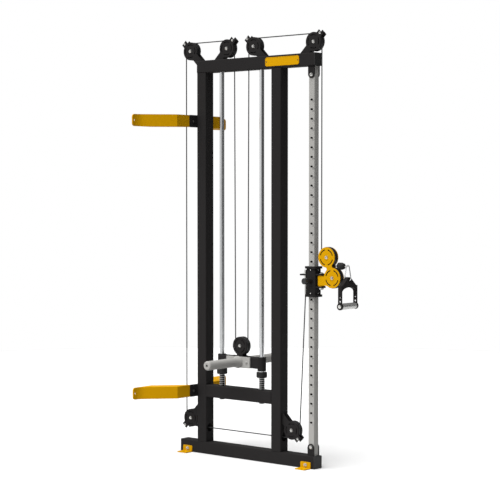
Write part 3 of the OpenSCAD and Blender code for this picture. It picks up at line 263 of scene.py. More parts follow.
def knurled(name, colour, rough, axis_x, axis_z, radius):
    """Steel grip with a crossed knurl about an axis along Y."""
    material, tree, where = start(name)
    x, y, z = split(tree, where)
    across = math_node(tree, "SUBTRACT", x, axis_x)
    above = math_node(tree, "SUBTRACT", z, axis_z)
    arc = math_node(tree, "MULTIPLY", math_node(tree, "ARCTAN2", above, across), radius)
    pitch = 2.2 * MM
    ridges = []
    for sign in (1.0, -1.0):
        lean = math_node(tree, "ADD", math_node(tree, "MULTIPLY", y, sign), arc)
        wave = math_node(tree, "SINE", math_node(tree, "MULTIPLY", lean, math.pi / pitch))
        ridges.append(math_node(tree, "ABSOLUTE", wave))
    height = math_node(tree, "MINIMUM", *ridges)
    stains = noise(tree, where, 60, 4)
    # Painted shade: the knurl's grooves are darker
    base = mix_colour(tree, remap(tree, height, 0.0, 0.5, 0.0, 1.0), tint(colour, 0.8), tint(colour, 1.0))
    base = mix_colour(tree, remap(tree, stains, 0.5, 0.75, 0, 0.3), base, tint(colour, 0.6))
    knurl = bump(tree, 0.3, 0.2 * MM, height, rounded(tree, 0.6 * MM))
    shine = remap(tree, stains, 0.3, 0.7, rough - 0.05, rough + 0.1)
    return finish(material, tree, Base_Color=base, Metallic=0.9, Roughness=shine, Normal=knurl)


GRIP = middle("handle_grip")
GRIP_R = 16.5 * MM
# Nearer than this to the column's middle is its bore
BORE_EDGE = 17 * MM
BLACK = (0.0113, 0.0105, 0.0105)
YELLOW = (0.36, 0.182, 0.0004)
SILVER = (0.214, 0.21, 0.2)
WORN_BLACK = (0.04, 0.039, 0.038)
WORN_YELLOW = (0.2, 0.11, 0.005)
WORN_SILVER = (0.33, 0.33, 0.32)
# Painted shade, near black, inside the column's bore
BORE_SHADE = (0.012, 0.011, 0.01)
# Painted shade, near black, on the swivel block's slot walls
SLOT_SHADE = (0.012, 0.01, 0.008)
DUST = (0.2, 0.19, 0.18)
FINISHES = {
    "black_paint": painted("black_paint", BLACK, 0.6, 0.05, (0.03, 0.029, 0.028), wear=0.2),
    "black_satin": painted(
        "black_satin", tint(BLACK, 0.9)[:3], 0.55, 0.05, WORN_BLACK, wear=0.35, radius=0.6 * MM
    ),
    "yellow_paint": painted("yellow_paint", YELLOW, 0.55, 0.03, WORN_YELLOW, radius=0.6 * MM),
    "yellow_plate": painted(
        "yellow_plate", tint(YELLOW, 1.02)[:3], 0.5, 0.03, (0.25, 0.14, 0.005), wear=0.2, grain=500,
        radius=0.5 * MM
    ),
    "silver_paint": painted("silver_paint", SILVER, 0.5, 0.12, WORN_SILVER),
    # The column's bore gets painted shade
    "column_paint": painted("column_paint", SILVER, 0.5, 0.12, WORN_SILVER, bore=(COLUMN_X, BORE_EDGE)),
    "black_plastic": moulded("black_plastic", (0.012, 0.012, 0.012), 0.5),
    "knob_plastic": moulded("knob_plastic", (0.01, 0.01, 0.01), 0.35, 0.4),
    "wheel_plastic": moulded("wheel_plastic", (0.0105, 0.0105, 0.0108), 0.42, 0.3),
    "rubber": moulded("rubber", (0.0125, 0.0125, 0.0125), 0.72, 0.15, grain=900, grain_depth=0.08 * MM),
    "white_nylon": moulded("white_nylon", (0.5, 0.49, 0.46), 0.5, 0.4, dust=0.05),
    # The block's slot walls get painted shade
    "block_paint": painted(
        "block_paint", YELLOW, 0.55, 0.03, WORN_YELLOW, radius=0.6 * MM, slot_shade_axes=(BLOCK_UPPER, BLOCK_LOWER)
    ),
    "polished_steel": metal("polished_steel", (0.66, 0.67, 0.68), 0.2, (900, 900, 14), dirt=0.12),
    "zinc_steel": metal("zinc_steel", (0.7, 0.695, 0.67), 0.22, (300, 300, 300), dirt=0.2, spots=0.12),
    "spring_steel": metal("spring_steel", (0.66, 0.66, 0.65), 0.3, (500, 500, 500), dirt=0.25),
    "coated_cable": stranded("coated_cable", (0.034, 0.034, 0.034), 0.5),
    "grip_steel": knurled("grip_steel", (0.5, 0.5, 0.49), 0.36, GRIP.x, GRIP.z, GRIP_R),
    "dark_steel": metal("dark_steel", (0.07, 0.068, 0.065), 0.34, (300, 300, 300), dirt=0.5),
    "mark_grey": moulded("mark_grey", (0.035, 0.035, 0.035), 0.6, 0.1),
}

# Nodes whose finish isn't the one that the record names
OWN_LOOK = {"handle_grip": "grip_steel", "swivel_block": "block_paint"}
# Material slot of each node, as the record names it
NODE_SLOTS = {row["node"]: row["material_slot"] for row in frame["record"]["subparts"]}
for name, thing in frame["nodes"].items():
    look = FINISHES[OWN_LOOK.get(name, NODE_SLOTS[name])]
    for place in thing.material_slots:
        place.material = look
    if not thing.material_slots:
        thing.data.materials.append(look)

# Mesh helpers


def piece(name, bm, look, smooth_angle=40):
    """Links the mesh as an object; edges sharper than smooth_angle, in degrees, stay sharp."""
    bmesh.ops.recalc_face_normals(bm, faces=bm.faces)
    limit = math.radians(smooth_angle)
    for edge in bm.edges:
        edge.smooth = len(edge.link_faces) == 2 and edge.calc_face_angle(0) < limit
    for face in bm.faces:
        face.smooth = True
    mesh = bpy.data.meshes.new(name)
    bm.to_mesh(mesh)
    bm.free()
    mesh.materials.append(FINISHES[look])
    made = bpy.data.objects.new(name, mesh)
    bpy.context.scene.collection.objects.link(made)
    return made


def ring_radius(size, flats, angle):
    """Radius of a round outline, cut to a hexagon of the given width across flats where there is one."""
    if not flats:
        return size
    off = (angle + math.pi / 6) % (math.pi / 3) - math.pi / 6
    return min(size, flats / 2 / math.cos(off))


def lathe(bm, place, profile, segments=36, ring=False):
    """Closed turned solid. The profile lists (height, radius) or (height, radius, width across flats), from
    one pole to the other or, for a ring, round its section; place takes +Z to the axis."""
    rings = []
    for row in profile:
        height, size = row[0], row[1]
        flats = row[2] if len(row) > 2 else 0
        if size == 0:
            rings.append([bm.verts.new(place @ Vector((0, 0, height)))])
            continue
        circle = []
        for k in range(segments):
            a = 2 * math.pi * k / segments
            r = ring_radius(size, flats, a)
            circle.append(bm.verts.new(place @ Vector((r * math.cos(a), r * math.sin(a), height))))
        rings.append(circle)
    for one, two in zip(rings, rings[1:] + rings[:1] if ring else rings[1:]):
        for k in range(segments):
            n = (k + 1) % segments
            corners = [one[k % len(one)], one[n % len(one)], two[n % len(two)], two[k % len(two)]]
            face = list(dict.fromkeys(corners))
            if len(face) > 2:
                bm.faces.new(face)


def sweep(bm, points, radius, sides=16, closed=False):
    """Round bar through the points, with UVs that run round it and, in metres, along it."""
    uv = bm.loops.layers.uv.verify()
    count = len(points)
    rings, lengths, length = [], [], 0.0
    side = None
    for k, point in enumerate(points):
        before = points[(k - 1) % count] if closed or k else points[0]
        after = points[(k + 1) % count] if closed or k < count - 1 else points[-1]
        ahead = (after - before).normalized()
        if side is None:
            side = ahead.orthogonal().normalized()
        side = (side - side.dot(ahead) * ahead).normalized()
        up = ahead.cross(side)
        if k:
            length += (point - points[k - 1]).length
        lengths.append(length)
        turns = [2 * math.pi * j / sides for j in range(sides)]
        rings.append([bm.verts.new(point + radius * (math.cos(a) * side + math.sin(a) * up)) for a in turns])
    spans = count if closed else count - 1
    for k in range(spans):
        one, two = rings[k], rings[(k + 1) % count]
        far = lengths[(k + 1) % count] if k + 1 < count else length + (points[0] - points[-1]).length
        for j in range(sides):
            n = (j + 1) % sides
            face = bm.faces.new([one[j], one[n], two[n], two[j]])
            corners = ((j, lengths[k]), (j + 1, lengths[k]), (j + 1, far), (j, far))
            for loop, (u, v) in zip(face.loops, corners):
                loop[uv].uv = (u / sides, v)
    if not closed:
        bm.faces.new(list(reversed(rings[0])))
        bm.faces.new(rings[-1])


def on_wheel(wheel, degrees):
    """Point of the cable's middle line on a wheel, at an angle from +X towards +Z."""
    a = math.radians(degrees)
    return Vector((wheel.x + GROOVE_R * math.cos(a), 0, wheel.z + GROOVE_R * math.sin(a)))


def wrap(wheel, first, last, step=6):
    """Points round a wheel from one angle to another."""
    count = max(2, int(abs(last - first) / step) + 1)
    return [on_wheel(wheel, first + (last - first) * k / (count - 1)) for k in range(count)]


def lean_of(low, high):
    """Lean from the vertical of the line between two points, in degrees."""
    return math.degrees(math.atan2(high.x - low.x, high.z - low.z))


# Cables

lift_foot = Vector((GROOVE_R, 0, LIFT_WHEEL.z))
lift_head = Vector((TOP_WHEELS[2].x - GROOVE_R, 0, TOP_WHEELS[2].z))
lift_lean = lean_of(lift_foot, lift_head)
anchor_low, anchor_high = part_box("cable_anchor")
anchor_foot = Vector(((anchor_low.x + anchor_high.x) / 2, 0, anchor_low.z))
low_lean = lean_of(Vector((LOW_RIGHT.x + GROOVE_R, 0, LOW_RIGHT.z)), anchor_foot)


def cable(name, points):
    bm = bmesh.new()
    sweep(bm, points, CABLE_R)
    return piece(name, bm, "coated_cable")


left_route = (
    wrap(TOP_WHEELS[1], lift_lean, 90)
    + wrap(TOP_WHEELS[0], 90, 180)
    + wrap(LOW_LEFT, 180, 270)
    + wrap(LOW_RIGHT, 270, 360 - low_lean)
)
right_route = wrap(TOP_WHEELS[2], 180 - lift_lean, 90) + wrap(TOP_WHEELS[3], 90, 0)
for name, route in (("cable_over_left", left_route), ("cable_over_right", right_route)):
    run = cable(name, route)
    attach(run, "frame")
    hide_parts("frame_cable")

for name, sign in (("lift_cable_left", -1), ("lift_cable_right", 1)):
    foot = on_wheel(LIFT_WHEEL, -lift_lean)
    head = on_wheel(TOP_WHEELS[2], 180 - lift_lean)
    foot.x, head.x = sign * foot.x, sign * head.x
    run = cable(name, [foot, head])
    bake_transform(run)
    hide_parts("lift_cables")

loop = cable("cable_under_carriage", wrap(LIFT_WHEEL, 180 + lift_lean, 360 - lift_lean))
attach(loop, "carriage")
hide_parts("carriage_cable")

head = on_wheel(TOP_WHEELS[3], 0)
foot = on_wheel(BLOCK_UPPER, 180)
run = cable("column_cable_high", [foot, head])
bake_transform(run)
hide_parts("column_cable_upper")

foot = on_wheel(LOW_RIGHT, -low_lean)
run = cable("column_cable_low", [foot, anchor_foot])
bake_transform(run)
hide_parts("column_cable_lower")

loop = cable("cable_in_block", wrap(BLOCK_UPPER, 180, 270))
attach(loop, "block")
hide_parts("block_cable")
foot = on_wheel(BLOCK_UPPER, 270)
head = Vector((STOPPER_X, 0, EXIT_Z))
run = cable("pull_cable", [foot, head])
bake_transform(run)
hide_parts("block_cable")

# Buffer springs

SPRING_WIRE = 4 * MM
SPRING_TURNS = 6.5
SPRING_RINGS = 24
for side in ("left", "right"):
    node = f"buffer_spring_{side}"
    low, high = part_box(node)
    centre = (low + high) / 2
    coil_r = (high.x - low.x) / 2 - SPRING_WIRE / 2
    foot_z, rise = low.z + SPRING_WIRE / 2, high.z - low.z - SPRING_WIRE
    points = []
    for k in range(int(SPRING_TURNS * SPRING_RINGS) + 1):
        turn = k / SPRING_RINGS
        climb = min(max(turn - 0.5, 0), SPRING_TURNS - 1) / (SPRING_TURNS - 1)
        a = 2 * math.pi * turn
        x, y = centre.x + coil_r * math.cos(a), coil_r * math.sin(a)
        points.append(Vector((x, y, foot_z + rise * climb)))
    bm = bmesh.new()
    sweep(bm, points, SPRING_WIRE / 2, 12)
    coil = piece(f"spring_coil_{side}", bm, "spring_steel")
    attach(coil, "frame")
    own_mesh(coil)
    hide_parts(node)

# Dark rubber sleeves inside the buffer springs: a spring guide, and painted shade in the gaps between the
# coils

SLEEVE_IN, SLEEVE_OUT = 12.6 * MM, 13.2 * MM
for side in ("left", "right"):
    low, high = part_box(f"buffer_spring_{side}")
    centre_x, rise = (low.x + high.x) / 2, high.z - low.z
    bm = bmesh.new()
    wall = [(0, SLEEVE_IN), (0, SLEEVE_OUT), (rise, SLEEVE_OUT), (rise, SLEEVE_IN)]
    lathe(bm, Matrix.Translation((centre_x, 0, low.z)), wall, ring=True)
    sleeve = piece(f"spring_sleeve_{side}", bm, "rubber")
    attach(sleeve, "frame")
    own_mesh(sleeve)

# Bolts

# A head's height and its socket's width as shares of the head's diameter, the socket's depth as a share of the
# height, and the lip round the socket
HEAD_RISE, SOCKET_SHARE, SOCKET_DEPTH, SOCKET_LIP = 0.42, 0.3, 0.6, 0.4 * MM
# A nut's width across flats and its height, as shares of its bolt's diameter
NUT_FLATS, NUT_RISE = 1.645, 0.8
WASHER_RIM, WASHER_T, WASHER_BREAK = 1.5 * MM, 1.5 * MM, 0.3 * MM
THREAD_OUT, THREAD_BREAK = 2 * MM, 0.6 * MM


def along_y(x, y, z, rear=False):
    """Places a turned part with its axis along Y, +Z of the part towards the front."""
    turn = Matrix.Rotation(math.radians(-90 if rear else 90), 4, "X")
    return Matrix.Translation((x, y, z)) @ turn


def along_x(x, y, z, left=True):
    """Places a turned part with its axis along X, +Z of the part towards the left or the right."""
    turn = Matrix.Rotation(math.radians(-90 if left else 90), 4, "Y")
    return Matrix.Translation((x, y, z)) @ turn


def bolt_head(bm, place, head_d, washer_d):
    """Washer and domed socket head standing up from the seat."""
    out = washer_d / 2
    low, high, inner = WASHER_BREAK, WASHER_T - WASHER_BREAK, out - WASHER_BREAK
    lathe(bm, place, [(0, 0), (0, inner), (low, out), (high, out), (WASHER_T, inner), (WASHER_T, 0)])
    r, head_h, socket = head_d / 2, head_d * HEAD_RISE, head_d * SOCKET_SHARE
    ball = (r * r + head_h * head_h) / (2 * head_h)
    lip = socket / 2 / math.cos(math.pi / 6) + SOCKET_LIP
    dome = [(WASHER_T, 0), (WASHER_T, r)]
    for k in range(1, 7):
        x = r + (lip - r) * k / 6
        dome.append((WASHER_T + head_h - ball + math.sqrt(ball * ball - x * x), x))
    top = dome[-1][0]
    bottom = top - head_h * SOCKET_DEPTH
    lathe(bm, place, dome + [(top - 0.2 * MM, lip, socket), (bottom, lip, socket), (bottom, 0)])


def hexagon(flats, height, share):
    """Profile of a nut whose corners are chamfered over a share of its height at each end."""
    corner, chamfer = flats / 2 / math.cos(math.pi / 6), flats / 2
    low, high = height * share, height * (1 - share)
    sides = [(0, chamfer, flats), (low, corner, flats), (high, corner, flats), (height, chamfer, flats)]
    return [(0, 0)] + sides + [(height, 0)]


def hex_nut(bm, place, bolt_d, height):
    """Chamfered nut with the bolt's thread end standing out of it."""
    lathe(bm, place, hexagon(bolt_d * NUT_FLATS, height, 0.12))
    r, foot, tip = bolt_d / 2, height - 0.1 * MM, height + THREAD_OUT
    lathe(bm, place, [(foot, 0), (foot, r), (tip - THREAD_BREAK, r), (tip, r - THREAD_BREAK), (tip, 0)])


def through_bolt(bm, x, z, half, bolt_d, head_d):
    """Bolt through two plates: head at the front, shank, nut at the rear."""
    bolt_head(bm, along_y(x, -half, z), head_d, head_d + WASHER_RIM)
    lathe(bm, along_y(x, half, z), [(0, 0), (0, bolt_d / 2), (2 * half, bolt_d / 2), (2 * half, 0)])
    hex_nut(bm, along_y(x, half, z, rear=True), bolt_d, bolt_d * NUT_RISE)


# Axle and keeper bolts of the pulleys; each keeper bolt sits on an ear, at an angle from +X towards +Z

AXLE_D, AXLE_HEAD = 12 * MM, 18 * MM
KEEPER_D, KEEPER_HEAD = 8 * MM, 13 * MM
EARS = [135, 45, 135, 45]
bm = bmesh.new()
for wheel, ear in list(zip(TOP_WHEELS, EARS)) + [(LOW_LEFT, -135), (LOW_RIGHT, -45)]:
    through_bolt(bm, wheel.x, wheel.z, CHEEK_OUT, AXLE_D, AXLE_HEAD)
    a = math.radians(ear)
    x, z = wheel.x + KEEPER_OFF * math.cos(a), wheel.z + KEEPER_OFF * math.sin(a)
    through_bolt(bm, x, z, CHEEK_OUT, KEEPER_D, KEEPER_HEAD)
made = piece("pulley_axles", bm, "zinc_steel")
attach(made, "frame")
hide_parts("pulley_bolts")

bm = bmesh.new()
for wheel in (BLOCK_UPPER, BLOCK_LOWER):
    through_bolt(bm, wheel.x, wheel.z, CHEEK_OUT, AXLE_D, AXLE_HEAD)
made = piece("block_axles", bm, "zinc_steel")
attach(made, "block")
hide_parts("block_bolts")

# Bolts of the carriage

bar_low, bar_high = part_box("carriage_crossbar")
bar_z = (bar_low.z + bar_high.z) / 2
HORN_PLATE_T = 8 * MM
HORN_PLATE_HALF = 83.5 * MM
HORN_BOLT_D, HORN_BOLT_HEAD, HORN_BOLT_IN = 10 * MM, 14 * MM, 22 * MM
horn_bolts = bmesh.new()
for side in (-1, 1):
    x = side * (HORN_PLATE_HALF - HORN_BOLT_IN)
    through_bolt(horn_bolts, x, bar_z, -bar_low.y + HORN_PLATE_T, HORN_BOLT_D, HORN_BOLT_HEAD)
lift_axle = bmesh.new()
through_bolt(lift_axle, LIFT_WHEEL.x, LIFT_WHEEL.z, CHEEK_OUT, AXLE_D, AXLE_HEAD)
plate_bolts = piece("horn_plate_bolts", horn_bolts, "silver_paint")
for made in (plate_bolts, piece("carriage_axle", lift_axle, "zinc_steel")):
    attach(made, "carriage")
    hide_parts("carriage_bolts")

# Frame bolts: floor brackets, column lugs, rack tabs, rod nuts

TUBE_HALF = 33 * MM
FOOT_W, FOOT_H, FOOT_T, FOOT_IN, FOOT_STEP = 66 * MM, 36 * MM, 5 * MM, 22 * MM, 32 * MM
FOOT_HEAD, FOOT_WASHER = 18 * MM, 22 * MM
LUG_BOLT, LUG_T, LUG_BOLT_D, LUG_HEAD = 46 * MM, 4 * MM, 10 * MM, 19 * MM
TAB_T, WEB_T, TAB_BOLT_Y = 5 * MM, 5 * MM, 61.5 * MM
TAB_BOLT_D, TAB_HEAD, TAB_WASHER, TAB_NUT_H = 10 * MM, 15 * MM, 19 * MM, 8 * MM
ROD_D, ROD_NUT_H, ROD_NUT_R = 25 * MM, 8 * MM, 15 * MM
full_low, full_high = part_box("beam_end_caps")
post_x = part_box("left_upright")[0].x
bm = bmesh.new()
bolt_left = full_low.x + FOOT_IN + FOOT_W / 2
bolt_right = full_high.x - FOOT_IN - FOOT_W / 2
front_bolts = [(x, False) for x in (bolt_left, bolt_right)]
rear_bolts = [(x, True) for x in (bolt_left + FOOT_STEP, bolt_right - FOOT_STEP)]
for x, rear in front_bolts + rear_bolts:
    y = (TUBE_HALF + FOOT_T) * (1 if rear else -1)
    bolt_head(bm, along_y(x, y, FOOT_H / 2, rear), FOOT_HEAD, FOOT_WASHER)
for z in (COLUMN_LOW.z + LUG_BOLT, COLUMN_HIGH.z - LUG_BOLT):
    through_bolt(bm, COLUMN_X, z, (COLUMN_HIGH.y - COLUMN_LOW.y) / 2 + LUG_T, LUG_BOLT_D, LUG_HEAD)
made = piece("frame_fasteners", bm, "zinc_steel")
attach(made, "frame")
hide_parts("frame_bolts")
bm = bmesh.new()
for arms in ("upper_rack_arms", "lower_rack_arms"):
    z = middle(arms).z
    for side in (-1, 1):
        bolt_head(bm, along_x(post_x, side * TAB_BOLT_Y, z, left=False), TAB_HEAD, TAB_WASHER)
        hex_nut(bm, along_x(post_x - TAB_T - WEB_T, side * TAB_BOLT_Y, z), TAB_BOLT_D, TAB_NUT_H)
crossbeam_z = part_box("low_crossbeam")[0].z
rod_low, rod_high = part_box("guide_rods")
rod_nut = hexagon(2 * ROD_NUT_R * math.cos(math.pi / 6), ROD_NUT_H, 0.1)
for x in (rod_low.x + ROD_D / 2, rod_high.x - ROD_D / 2):
    lathe(bm, Matrix.Translation((x, 0, crossbeam_z)) @ Matrix.Rotation(math.pi, 4, "X"), rod_nut)
made = piece("dark_fasteners", bm, "dark_steel")
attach(made, "frame")
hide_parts("frame_bolts")

# Flared collars where the horns meet their plates

COLLAR_R, COLLAR_H, COLLAR_RIM, COLLAR_LIP, HORN_R = 33.5 * MM, 46 * MM, 2 * MM, 0.3 * MM, 25 * MM
bore_r, lip_r = HORN_R + 0.05 * MM, HORN_R + COLLAR_LIP
flare = [(0, bore_r), (0, COLLAR_R), (COLLAR_RIM, COLLAR_R)]
for k in range(1, 9):
    up = COLLAR_RIM + (COLLAR_H - COLLAR_RIM) * k / 8
    flare.append((up, lip_r + (COLLAR_R - lip_r) * (1 - k / 8) ** 2))
flare.append((COLLAR_H, bore_r))
for name, rear in (("horn_collar_front", False), ("horn_collar_rear", True)):
    bm = bmesh.new()
    y = (HORN_PLATE_T - bar_low.y) * (1 if rear else -1)
    lathe(bm, along_y(0, y, bar_z, rear), flare, 48, ring=True)
    made = piece(name, bm, "silver_paint")
    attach(made, "carriage")

# Rod of the handle with its domed end caps

CAP_R, CAP_H = 10.5 * MM, 6 * MM
# Shares of the cap's height and radius from its rim to its top
CAP_DOME = [(1, 1), (0.5, 0.94), (0.2, 0.76), (0.05, 0.45), (0, 0)]
low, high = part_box("handle_axle")
rod_mid, rod_half = (low + high) / 2, (high.y - low.y) / 2
cap = [(rod_half - CAP_H, AXLE_D / 2)] + [(rod_half - CAP_H * h, CAP_R * r) for h, r in CAP_DOME]
bm = bmesh.new()
lathe(bm, along_y(rod_mid.x, 0, rod_mid.z), [(-y, r) for y, r in reversed(cap)] + cap)
made = piece("handle_rod", bm, "zinc_steel")
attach(made, "handle")
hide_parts("handle_axle")

# Wheels of the swivel block, whose flanges stand a little past its cheeks

BLOCK_WHEEL_R, BLOCK_WHEEL_HALF, GROOVE_HALF = 54.5 * MM, 11 * MM, 4.5 * MM
groove_round = CABLE_R * 1.1
half, edge = BLOCK_WHEEL_HALF, BLOCK_WHEEL_R
section = [(-half, 0), (-half, edge - MM), (MM - half, edge), (-GROOVE_HALF, edge)]
for k in range(9):
    a = math.pi * k / 8
    section.append((-groove_round * math.cos(a), GROOVE_R - groove_round * math.sin(a)))
section += [(GROOVE_HALF, edge), (half - MM, edge), (half, edge - MM), (half, 0)]
for name, wheel in (("block_wheel_upper", BLOCK_UPPER), ("block_wheel_lower", BLOCK_LOWER)):
    bm = bmesh.new()
    lathe(bm, along_y(wheel.x, 0, wheel.z), section, 64)
    made = piece(f"{name}_flanged", bm, "wheel_plastic")
    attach(made, name.replace("wheel", "pulley"))
    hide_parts(name)

# Adjustment column with its oblong height holes

HOLES = 35
HOLE_PITCH = 50 * MM
FIRST_HOLE = 244 * MM
HOLE_W, HOLE_H = 16.5 * MM, 10.5 * MM
COLUMN_WALL, COLUMN_CORNER, COLUMN_BORE_CORNER = 2.5 * MM, 3 * MM, 0.5 * MM
# Steps round each corner, and the place in a ring of the last corner point and of the front flat's middle
CORNER_STEPS = 4
LAST_CORNER = 4 * CORNER_STEPS + 3
FLAT_MIDDLE = LAST_CORNER + 1


def tube_ring(half, corner, z, bm):
    """Points round a square tube, from the right end of its front flat to the left end, then its middle."""
    ring = []
    for k, (sx, sy) in enumerate(((1, -1), (1, 1), (-1, 1), (-1, -1))):
        for step in range(CORNER_STEPS + 1):
            a = math.radians(90 * (k - 1) + 90 / CORNER_STEPS * step)
            x = COLUMN_X + sx * (half - corner) + corner * math.cos(a)
            y = sy * (half - corner) + corner * math.sin(a)
            ring.append(bm.verts.new((x, y, z)))
    ring.append(bm.verts.new((COLUMN_X, -half, z)))
    return ring


def hole_sides(bm, z, y):
    """The right and the left half of an oblong hole's outline, each from its lowest point to its highest."""
    r = HOLE_H / 2
    off = HOLE_W / 2 - r
    foot, head = (bm.verts.new((COLUMN_X, y, z + end)) for end in (-r, r))
    turns = [math.radians(a) for a in range(-90, 91, 15)]
    sides = []
    for sign in (1, -1):
        places = [(COLUMN_X + sign * (off + r * math.cos(a)), y, z + r * math.sin(a)) for a in turns]
        sides.append([foot] + [bm.verts.new(place) for place in places] + [head])
    return sides


bm = bmesh.new()
levels = [COLUMN_LOW.z] + [FIRST_HOLE + (k - 0.5) * HOLE_PITCH for k in range(HOLES + 1)] + [COLUMN_HIGH.z]
half = (COLUMN_HIGH.x - COLUMN_LOW.x) / 2
skins = [(half, COLUMN_CORNER), (half - COLUMN_WALL, COLUMN_BORE_CORNER)]
tubes = [[tube_ring(size, corner, z, bm) for z in levels] for size, corner in skins]
for rings in tubes:
    for one, two in zip(rings, rings[1:]):
        for k in range(LAST_CORNER):
            bm.faces.new([one[k], one[k + 1], two[k + 1], two[k]])
for k in range(FLAT_MIDDLE + 1):
    n = (k + 1) % (FLAT_MIDDLE + 1)
    for end in (0, -1):
        outer, inner = tubes[0][end], tubes[1][end]
        bm.faces.new([outer[k], outer[n], inner[n], inner[k]])
for cell in range(len(levels) - 1):
    holed = 0 < cell <= HOLES
    rims = []
    for (size, _), rings in zip(skins, tubes):
        low, high = rings[cell], rings[cell + 1]
        sides = hole_sides(bm, FIRST_HOLE + (cell - 1) * HOLE_PITCH, -size) if holed else [[], []]
        rims.append(sides)
        for near, rim in zip((0, LAST_CORNER), sides):
            bm.faces.new([low[FLAT_MIDDLE], low[near], high[near], high[FLAT_MIDDLE]] + rim[::-1])
    for front, back in zip(*rims):
        for k in range(len(front) - 1):
            bm.faces.new([front[k], front[k + 1], back[k + 1], back[k]])
made = piece("column_with_holes", bm, "column_paint")
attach(made, "frame")
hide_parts("adjustment_column")

# Hole numbers

# Height of a digit, its font size as a share of that, and how far it stands out
DIGIT_H, FONT_SHARE, DIGIT_OUT = 10 * MM, 1.4, 0.1 * MM
DIGIT_DX, DIGIT_DZ = 10.5 * MM, -14 * MM
upright = Matrix.Rotation(math.pi / 2, 4, "X")
bm = bmesh.new()
for k in range(HOLES):
    curve = bpy.data.curves.new(f"number_{k + 1}", "FONT")
    curve.body = str(k + 1)
    curve.size = DIGIT_H * FONT_SHARE
    curve.align_x = "CENTER"
    curve.extrude = DIGIT_OUT
    text = bpy.data.objects.new(curve.name, curve)
    bpy.context.scene.collection.objects.link(text)
    bpy.context.view_layer.update()
    mesh = bpy.data.meshes.new_from_object(text)
    at = (COLUMN_X + DIGIT_DX, COLUMN_LOW.y - DIGIT_OUT / 2, FIRST_HOLE + k * HOLE_PITCH + DIGIT_DZ)
    mesh.transform(Matrix.Translation(at) @ upright)
    bm.from_mesh(mesh)
    bpy.data.objects.remove(text)
made = piece("hole_numbers", bm, "mark_grey")
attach(made, "frame")

# Plate rim and screws

RIM_IN, RIM_CORNER, RIM_R = 2 * MM, 10 * MM, 0.8 * MM
SCREW_IN = 9 * MM
# Height and radius of a plate screw from its seat over its head and down its socket
SCREW = [(0, 0), (0, 3.2), (0.5, 3.2), (1.3, 2.4), (1.5, 1.7), (1.4, 1.4, 2), (0.6, 1.4, 2), (0.6, 0)]
plate_low, plate_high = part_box("name_plate")
plate_mid, plate_size = (plate_low + plate_high) / 2, plate_high - plate_low


def round_rect(width, height, radius, steps=8):
    """Corner points of a rounded rectangle in X and Z, anticlockwise."""
    points = []
    for quarter, (sx, sz) in enumerate(((1, 1), (-1, 1), (-1, -1), (1, -1))):
        for k in range(steps + 1):
            a = math.radians(90 * quarter + 90 * k / steps)
            x = sx * (width / 2 - radius) + radius * math.cos(a)
            z = sz * (height / 2 - radius) + radius * math.sin(a)
            points.append(Vector((x, 0, z)))
    return points


outline = round_rect(plate_size.x - 2 * RIM_IN, plate_size.z - 2 * RIM_IN, RIM_CORNER)
rim = [Vector((p.x + plate_mid.x, plate_low.y, p.z + plate_mid.z)) for p in outline]
bm = bmesh.new()
sweep(bm, rim, RIM_R, 8, closed=True)
made = piece("plate_rim", bm, "yellow_plate")
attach(made, "frame")
bm = bmesh.new()
screw = [tuple(size * MM for size in row) for row in SCREW]
for side in (-1, 1):
    x = plate_mid.x + side * (plate_size.x / 2 - SCREW_IN)
    lathe(bm, along_y(x, plate_low.y, plate_mid.z), screw, 24)
made = piece("plate_screws", bm, "dark_steel")
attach(made, "frame")

# Studio

FLOOR_R = 6
FLOOR_GREYS = (0.455, 0.465)
# The light round the machine darkens from the front left, above, towards the rear right, less so overhead
DARK_AZIMUTH = math.radians(40)
DARK_SIDE = Vector((math.cos(DARK_AZIMUTH), math.sin(DARK_AZIMUTH), -0.5)).normalized()
# The sun stands in front, a little to the left
SUN_POWER, SUN_WIDTH = 7.5, math.radians(70)
SUN_TURN = (math.radians(28), 0, math.radians(-12))
LENS, SENSOR = 110.17, 36
CAMERA_AT = (5.4143, -6.3822, 1.4506)
CAMERA_TURN = (math.radians(87.9), 0, math.radians(40))

scene = bpy.context.scene
scene.view_settings.view_transform = "Standard"
scene.view_settings.look = "None"

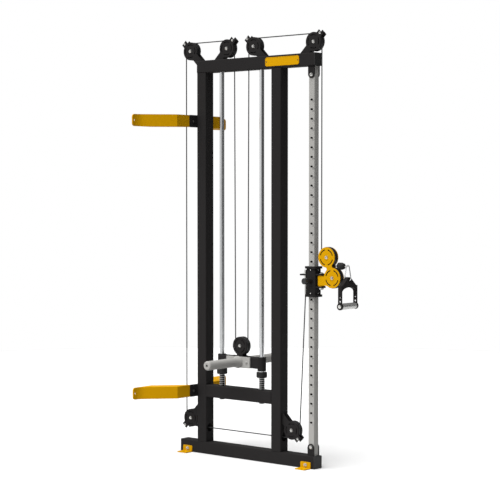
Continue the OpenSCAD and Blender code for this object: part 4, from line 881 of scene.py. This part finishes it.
floor_bm = bmesh.new()
bmesh.ops.create_circle(floor_bm, cap_ends=True, segments=96, radius=FLOOR_R)
floor_mesh = bpy.data.meshes.new("floor")
floor_bm.to_mesh(floor_mesh)
floor_bm.free()
floor = bpy.data.objects.new("floor", floor_mesh)
scene.collection.objects.link(floor)
material, tree, where = start("pale_floor")
greys = [(grey, grey, grey, 1) for grey in FLOOR_GREYS]
pale = mix_colour(tree, remap(tree, noise(tree, where, 3, 3), 0.3, 0.7, 0, 1), *greys)
floor_mesh.materials.append(finish(material, tree, Base_Color=pale, Roughness=0.9, Specular_IOR_Level=0.02))

world = bpy.data.worlds.new("studio")
scene.world = world
world.use_nodes = True
tree = world.node_tree
tree.nodes.clear()
direction = add(tree, "ShaderNodeTexCoord").outputs["Generated"]
facing = dot_product(tree, direction, DARK_SIDE)
bright = remap(tree, facing, -0.95, -0.6, 1.1, 0.7)
overhead = remap(tree, split(tree, direction)[2], 0.35, 0.75, 1.0, 0.3)
dark = math_node(tree, "MULTIPLY", remap(tree, facing, -0.6, 0.1, 0.0, -0.55), overhead)
level = math_node(tree, "ADD", bright, dark)
lit = add(tree, "ShaderNodeBackground", None, Color=(1, 1, 1, 1), Strength=level)
seen = add(tree, "ShaderNodeBackground", None, Color=(1, 1, 1, 1), Strength=1.0)
camera_ray = add(tree, "ShaderNodeLightPath").outputs["Is Camera Ray"]
both = add(tree, "ShaderNodeMixShader", None, i0=camera_ray, i1=lit.outputs[0], i2=seen.outputs[0])
add(tree, "ShaderNodeOutputWorld", None, Surface=both.outputs[0])

sun = bpy.data.lights.new("key", "SUN")
sun.energy = SUN_POWER
sun.angle = SUN_WIDTH
key = bpy.data.objects.new("key", sun)
key.rotation_euler = SUN_TURN
key.visible_glossy = False
scene.collection.objects.link(key)

camera_data = bpy.data.cameras.new("camera")
camera_data.lens = LENS
camera_data.sensor_width = SENSOR
camera = bpy.data.objects.new("camera", camera_data)
camera.location = CAMERA_AT
camera.rotation_euler = CAMERA_TURN
scene.collection.objects.link(camera)
scene.camera = camera
